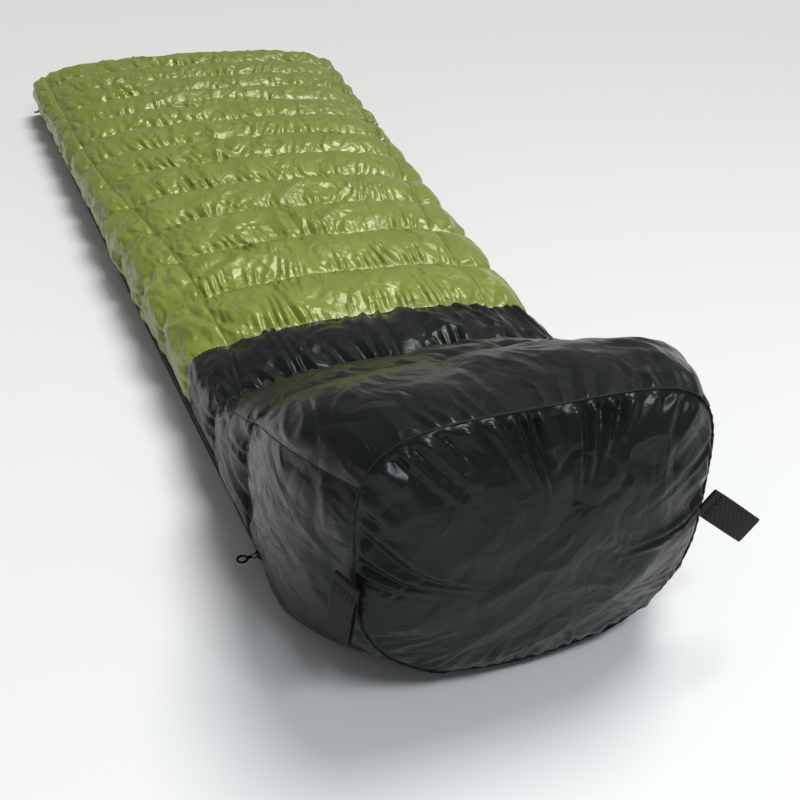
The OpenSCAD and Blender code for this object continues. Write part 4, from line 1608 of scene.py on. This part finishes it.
def makeLoop(name, droop, place, turn, nodeName):
    droop = math.radians(droop)
    ahead = np.array([math.cos(droop), 0, -math.sin(droop)])
    up = np.array([math.sin(droop), 0, math.cos(droop)])
    out = np.array([0, 1.0, 0])
    run = loopLine()
    d = unit(np.gradient(run, axis=0))
    profile = bandProfile()
    a, h = profile[None, :, 0], profile[None, :, 1]
    sway = loops["sway"] * np.sin(run[:, :1] * 90)
    wobble = loops["edgeWobble"] * (np.abs(a) ** 6) * np.cos(np.arange(len(run)) * math.pi)[:, None]
    x = run[:, :1] + d[:, 1:] * h
    y = run[:, 1:] - d[:, :1] * h + sway
    z = a * (loops["width"] / 2 - 0.0002) + wobble * np.sign(a)
    p = ahead * x[:, :, None] + out * y[:, :, None] + up * z[:, :, None]
    rows, cols = p.shape[:2]
    caps = [list(range(cols)), [rows * cols - 1 - k for k in range(cols)]]
    faces = gridFaces(rows, cols, closed=True).tolist() + caps
    band = facingOut(newMesh(name, p.reshape(-1, 3), faces, webbingBand))
    lines = []
    for near in np.linspace(*loops["tackAt"], 3):
        for way in (-1, 1):
            side = out * way
            heights = np.linspace(-loops["tackHalf"], loops["tackHalf"], 9)
            line = np.array([ahead * near + up * high + side * (loops["thick"] + 0.0003) for high in heights])
            lines.append((line, np.repeat(side[None], 9, 0)))
    tack = stitchMesh(name + "Stitches", lines, blackThread)
    move = Matrix.Translation(Vector(place)) @ Matrix.Rotation(math.radians(turn), 4, "Z")
    for obj in (band, tack):
        obj.data.transform(move)
    ridePiece(band, nodeName, [nodeName])
    ridePiece(tack, nodeName)


makeLoop("rightHangLoop", 40, (loopX, loopY, loops["height"]), 0, "right_hang_loop")
makeLoop("leftHangLoop", 78, (-loopX, loopY, loops["height"]), 180 - 62, "left_hang_loop")
report("hang loops")

# --- what is left of the frame's own pieces, floor, light and camera
for nodeName, node in nodes.items():
    dressed = node.data.materials and node.data.materials[0] in (zipTapeCloth, zipMetal)
    if not node.hide_render and not dressed:
        dress(nodeName, whiteDown)
        print("still showing:", nodeName)

studio = {
    "floor": (0.79, 0.79, 0.785, 1),
    "floorDark": (0.77, 0.77, 0.765, 1),
    "floorHalf": 14,
    "sky": (0.97, 0.985, 1.0, 1),
    "skyStrength": 0.22,
    "backdrop": 0.86,
}
overheadLight = {
    "place": (1.15, 0.45, 3.0),
    "aim": (0.0, -0.35, 0.0),
    "power": 2.3,
    "spread": 26,
    "tint": (1, 0.99, 0.97),
}
windowLight = {
    "place": (0.45, -2.0, 2.0),
    "size": (0.9, 0.4),
    "power": 25,
    "aim": (0.0, -0.95, 0.2),
    "tint": (0.86, 0.93, 1),
}
floorMaterial, floorTree, floorBsdf = newMaterial("paleFloor")
speck = addNode(floorTree, "ShaderNodeTexNoise", {"Scale": 4.0, "Detail": 3.0}).outputs["Fac"]
tone = ranged(floorTree, speck, 0.0, 1.0, 0.97, 1.0)
shade = blendColours(floorTree, tone, studio["floorDark"], studio["floor"])
setInputs(floorTree, floorBsdf, {"Base Color": shade, "Roughness": 0.9})
corners = studio["floorHalf"] * np.array([(-1, -1, 0), (1, -1, 0), (1, 1, 0), (-1, 1, 0)])
floor = newMesh("floor", corners, [[0, 1, 2, 3]], floorMaterial)

bpy.context.scene.view_settings.view_transform = "Standard"
world = bpy.data.worlds.new("studioSky")
bpy.context.scene.world = world
world.use_nodes = True
skyTree = world.node_tree
seen = addNode(skyTree, "ShaderNodeLightPath").outputs["Is Camera Ray"]
lift = studio["backdrop"] - studio["skyStrength"]
strength = maths(skyTree, "MULTIPLY_ADD", seen, lift, studio["skyStrength"])
setInputs(skyTree, skyTree.nodes["Background"], {"Color": studio["sky"], "Strength": strength})


def softbox(name, look):
    # a wide soft light: even over the whole floor if it has a spread, from a panel if it has a size
    light = bpy.data.lights.new(name, "SUN" if "spread" in look else "AREA")
    if "spread" in look:
        light.angle = math.radians(look["spread"])
    else:
        light.shape = "RECTANGLE"
        light.size, light.size_y = look["size"]
    light.energy = look["power"]
    light.color = look["tint"]
    obj = bpy.data.objects.new(name, light)
    obj.location = look["place"]
    obj.rotation_euler = (Vector(look["aim"]) - Vector(look["place"])).to_track_quat("-Z", "Y").to_euler()
    bpy.context.scene.collection.objects.link(obj)


softbox("overheadSoftbox", overheadLight)
softbox("windowSoftbox", windowLight)

cameraSetting = {
    "lens": 42.74,
    "sensor": 36,
    "clip": (0.02, 60),
    "right": (0.94785, -0.31871, 0),
    "up": (0.16472, 0.49010, 0.85596),
    "forward": (0.27284, 0.81131, -0.51704),
    "place": (-0.2706, -1.4527, 0.5874),
}
camera = bpy.data.cameras.new("camera")
camera.lens = cameraSetting["lens"]
camera.sensor_width = cameraSetting["sensor"]
camera.clip_start, camera.clip_end = cameraSetting["clip"]
eye = bpy.data.objects.new("camera", camera)
columns = (
    Vector(cameraSetting["right"]).to_4d(),
    Vector(cameraSetting["up"]).to_4d(),
    -Vector(cameraSetting["forward"]).to_4d(),
    Vector(cameraSetting["place"]).to_4d(),
)
placing = Matrix(columns).transposed()
placing[3] = (0, 0, 0, 1)
eye.matrix_world = placing
bpy.context.scene.collection.objects.link(eye)
bpy.context.scene.camera = eye

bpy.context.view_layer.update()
report("done")
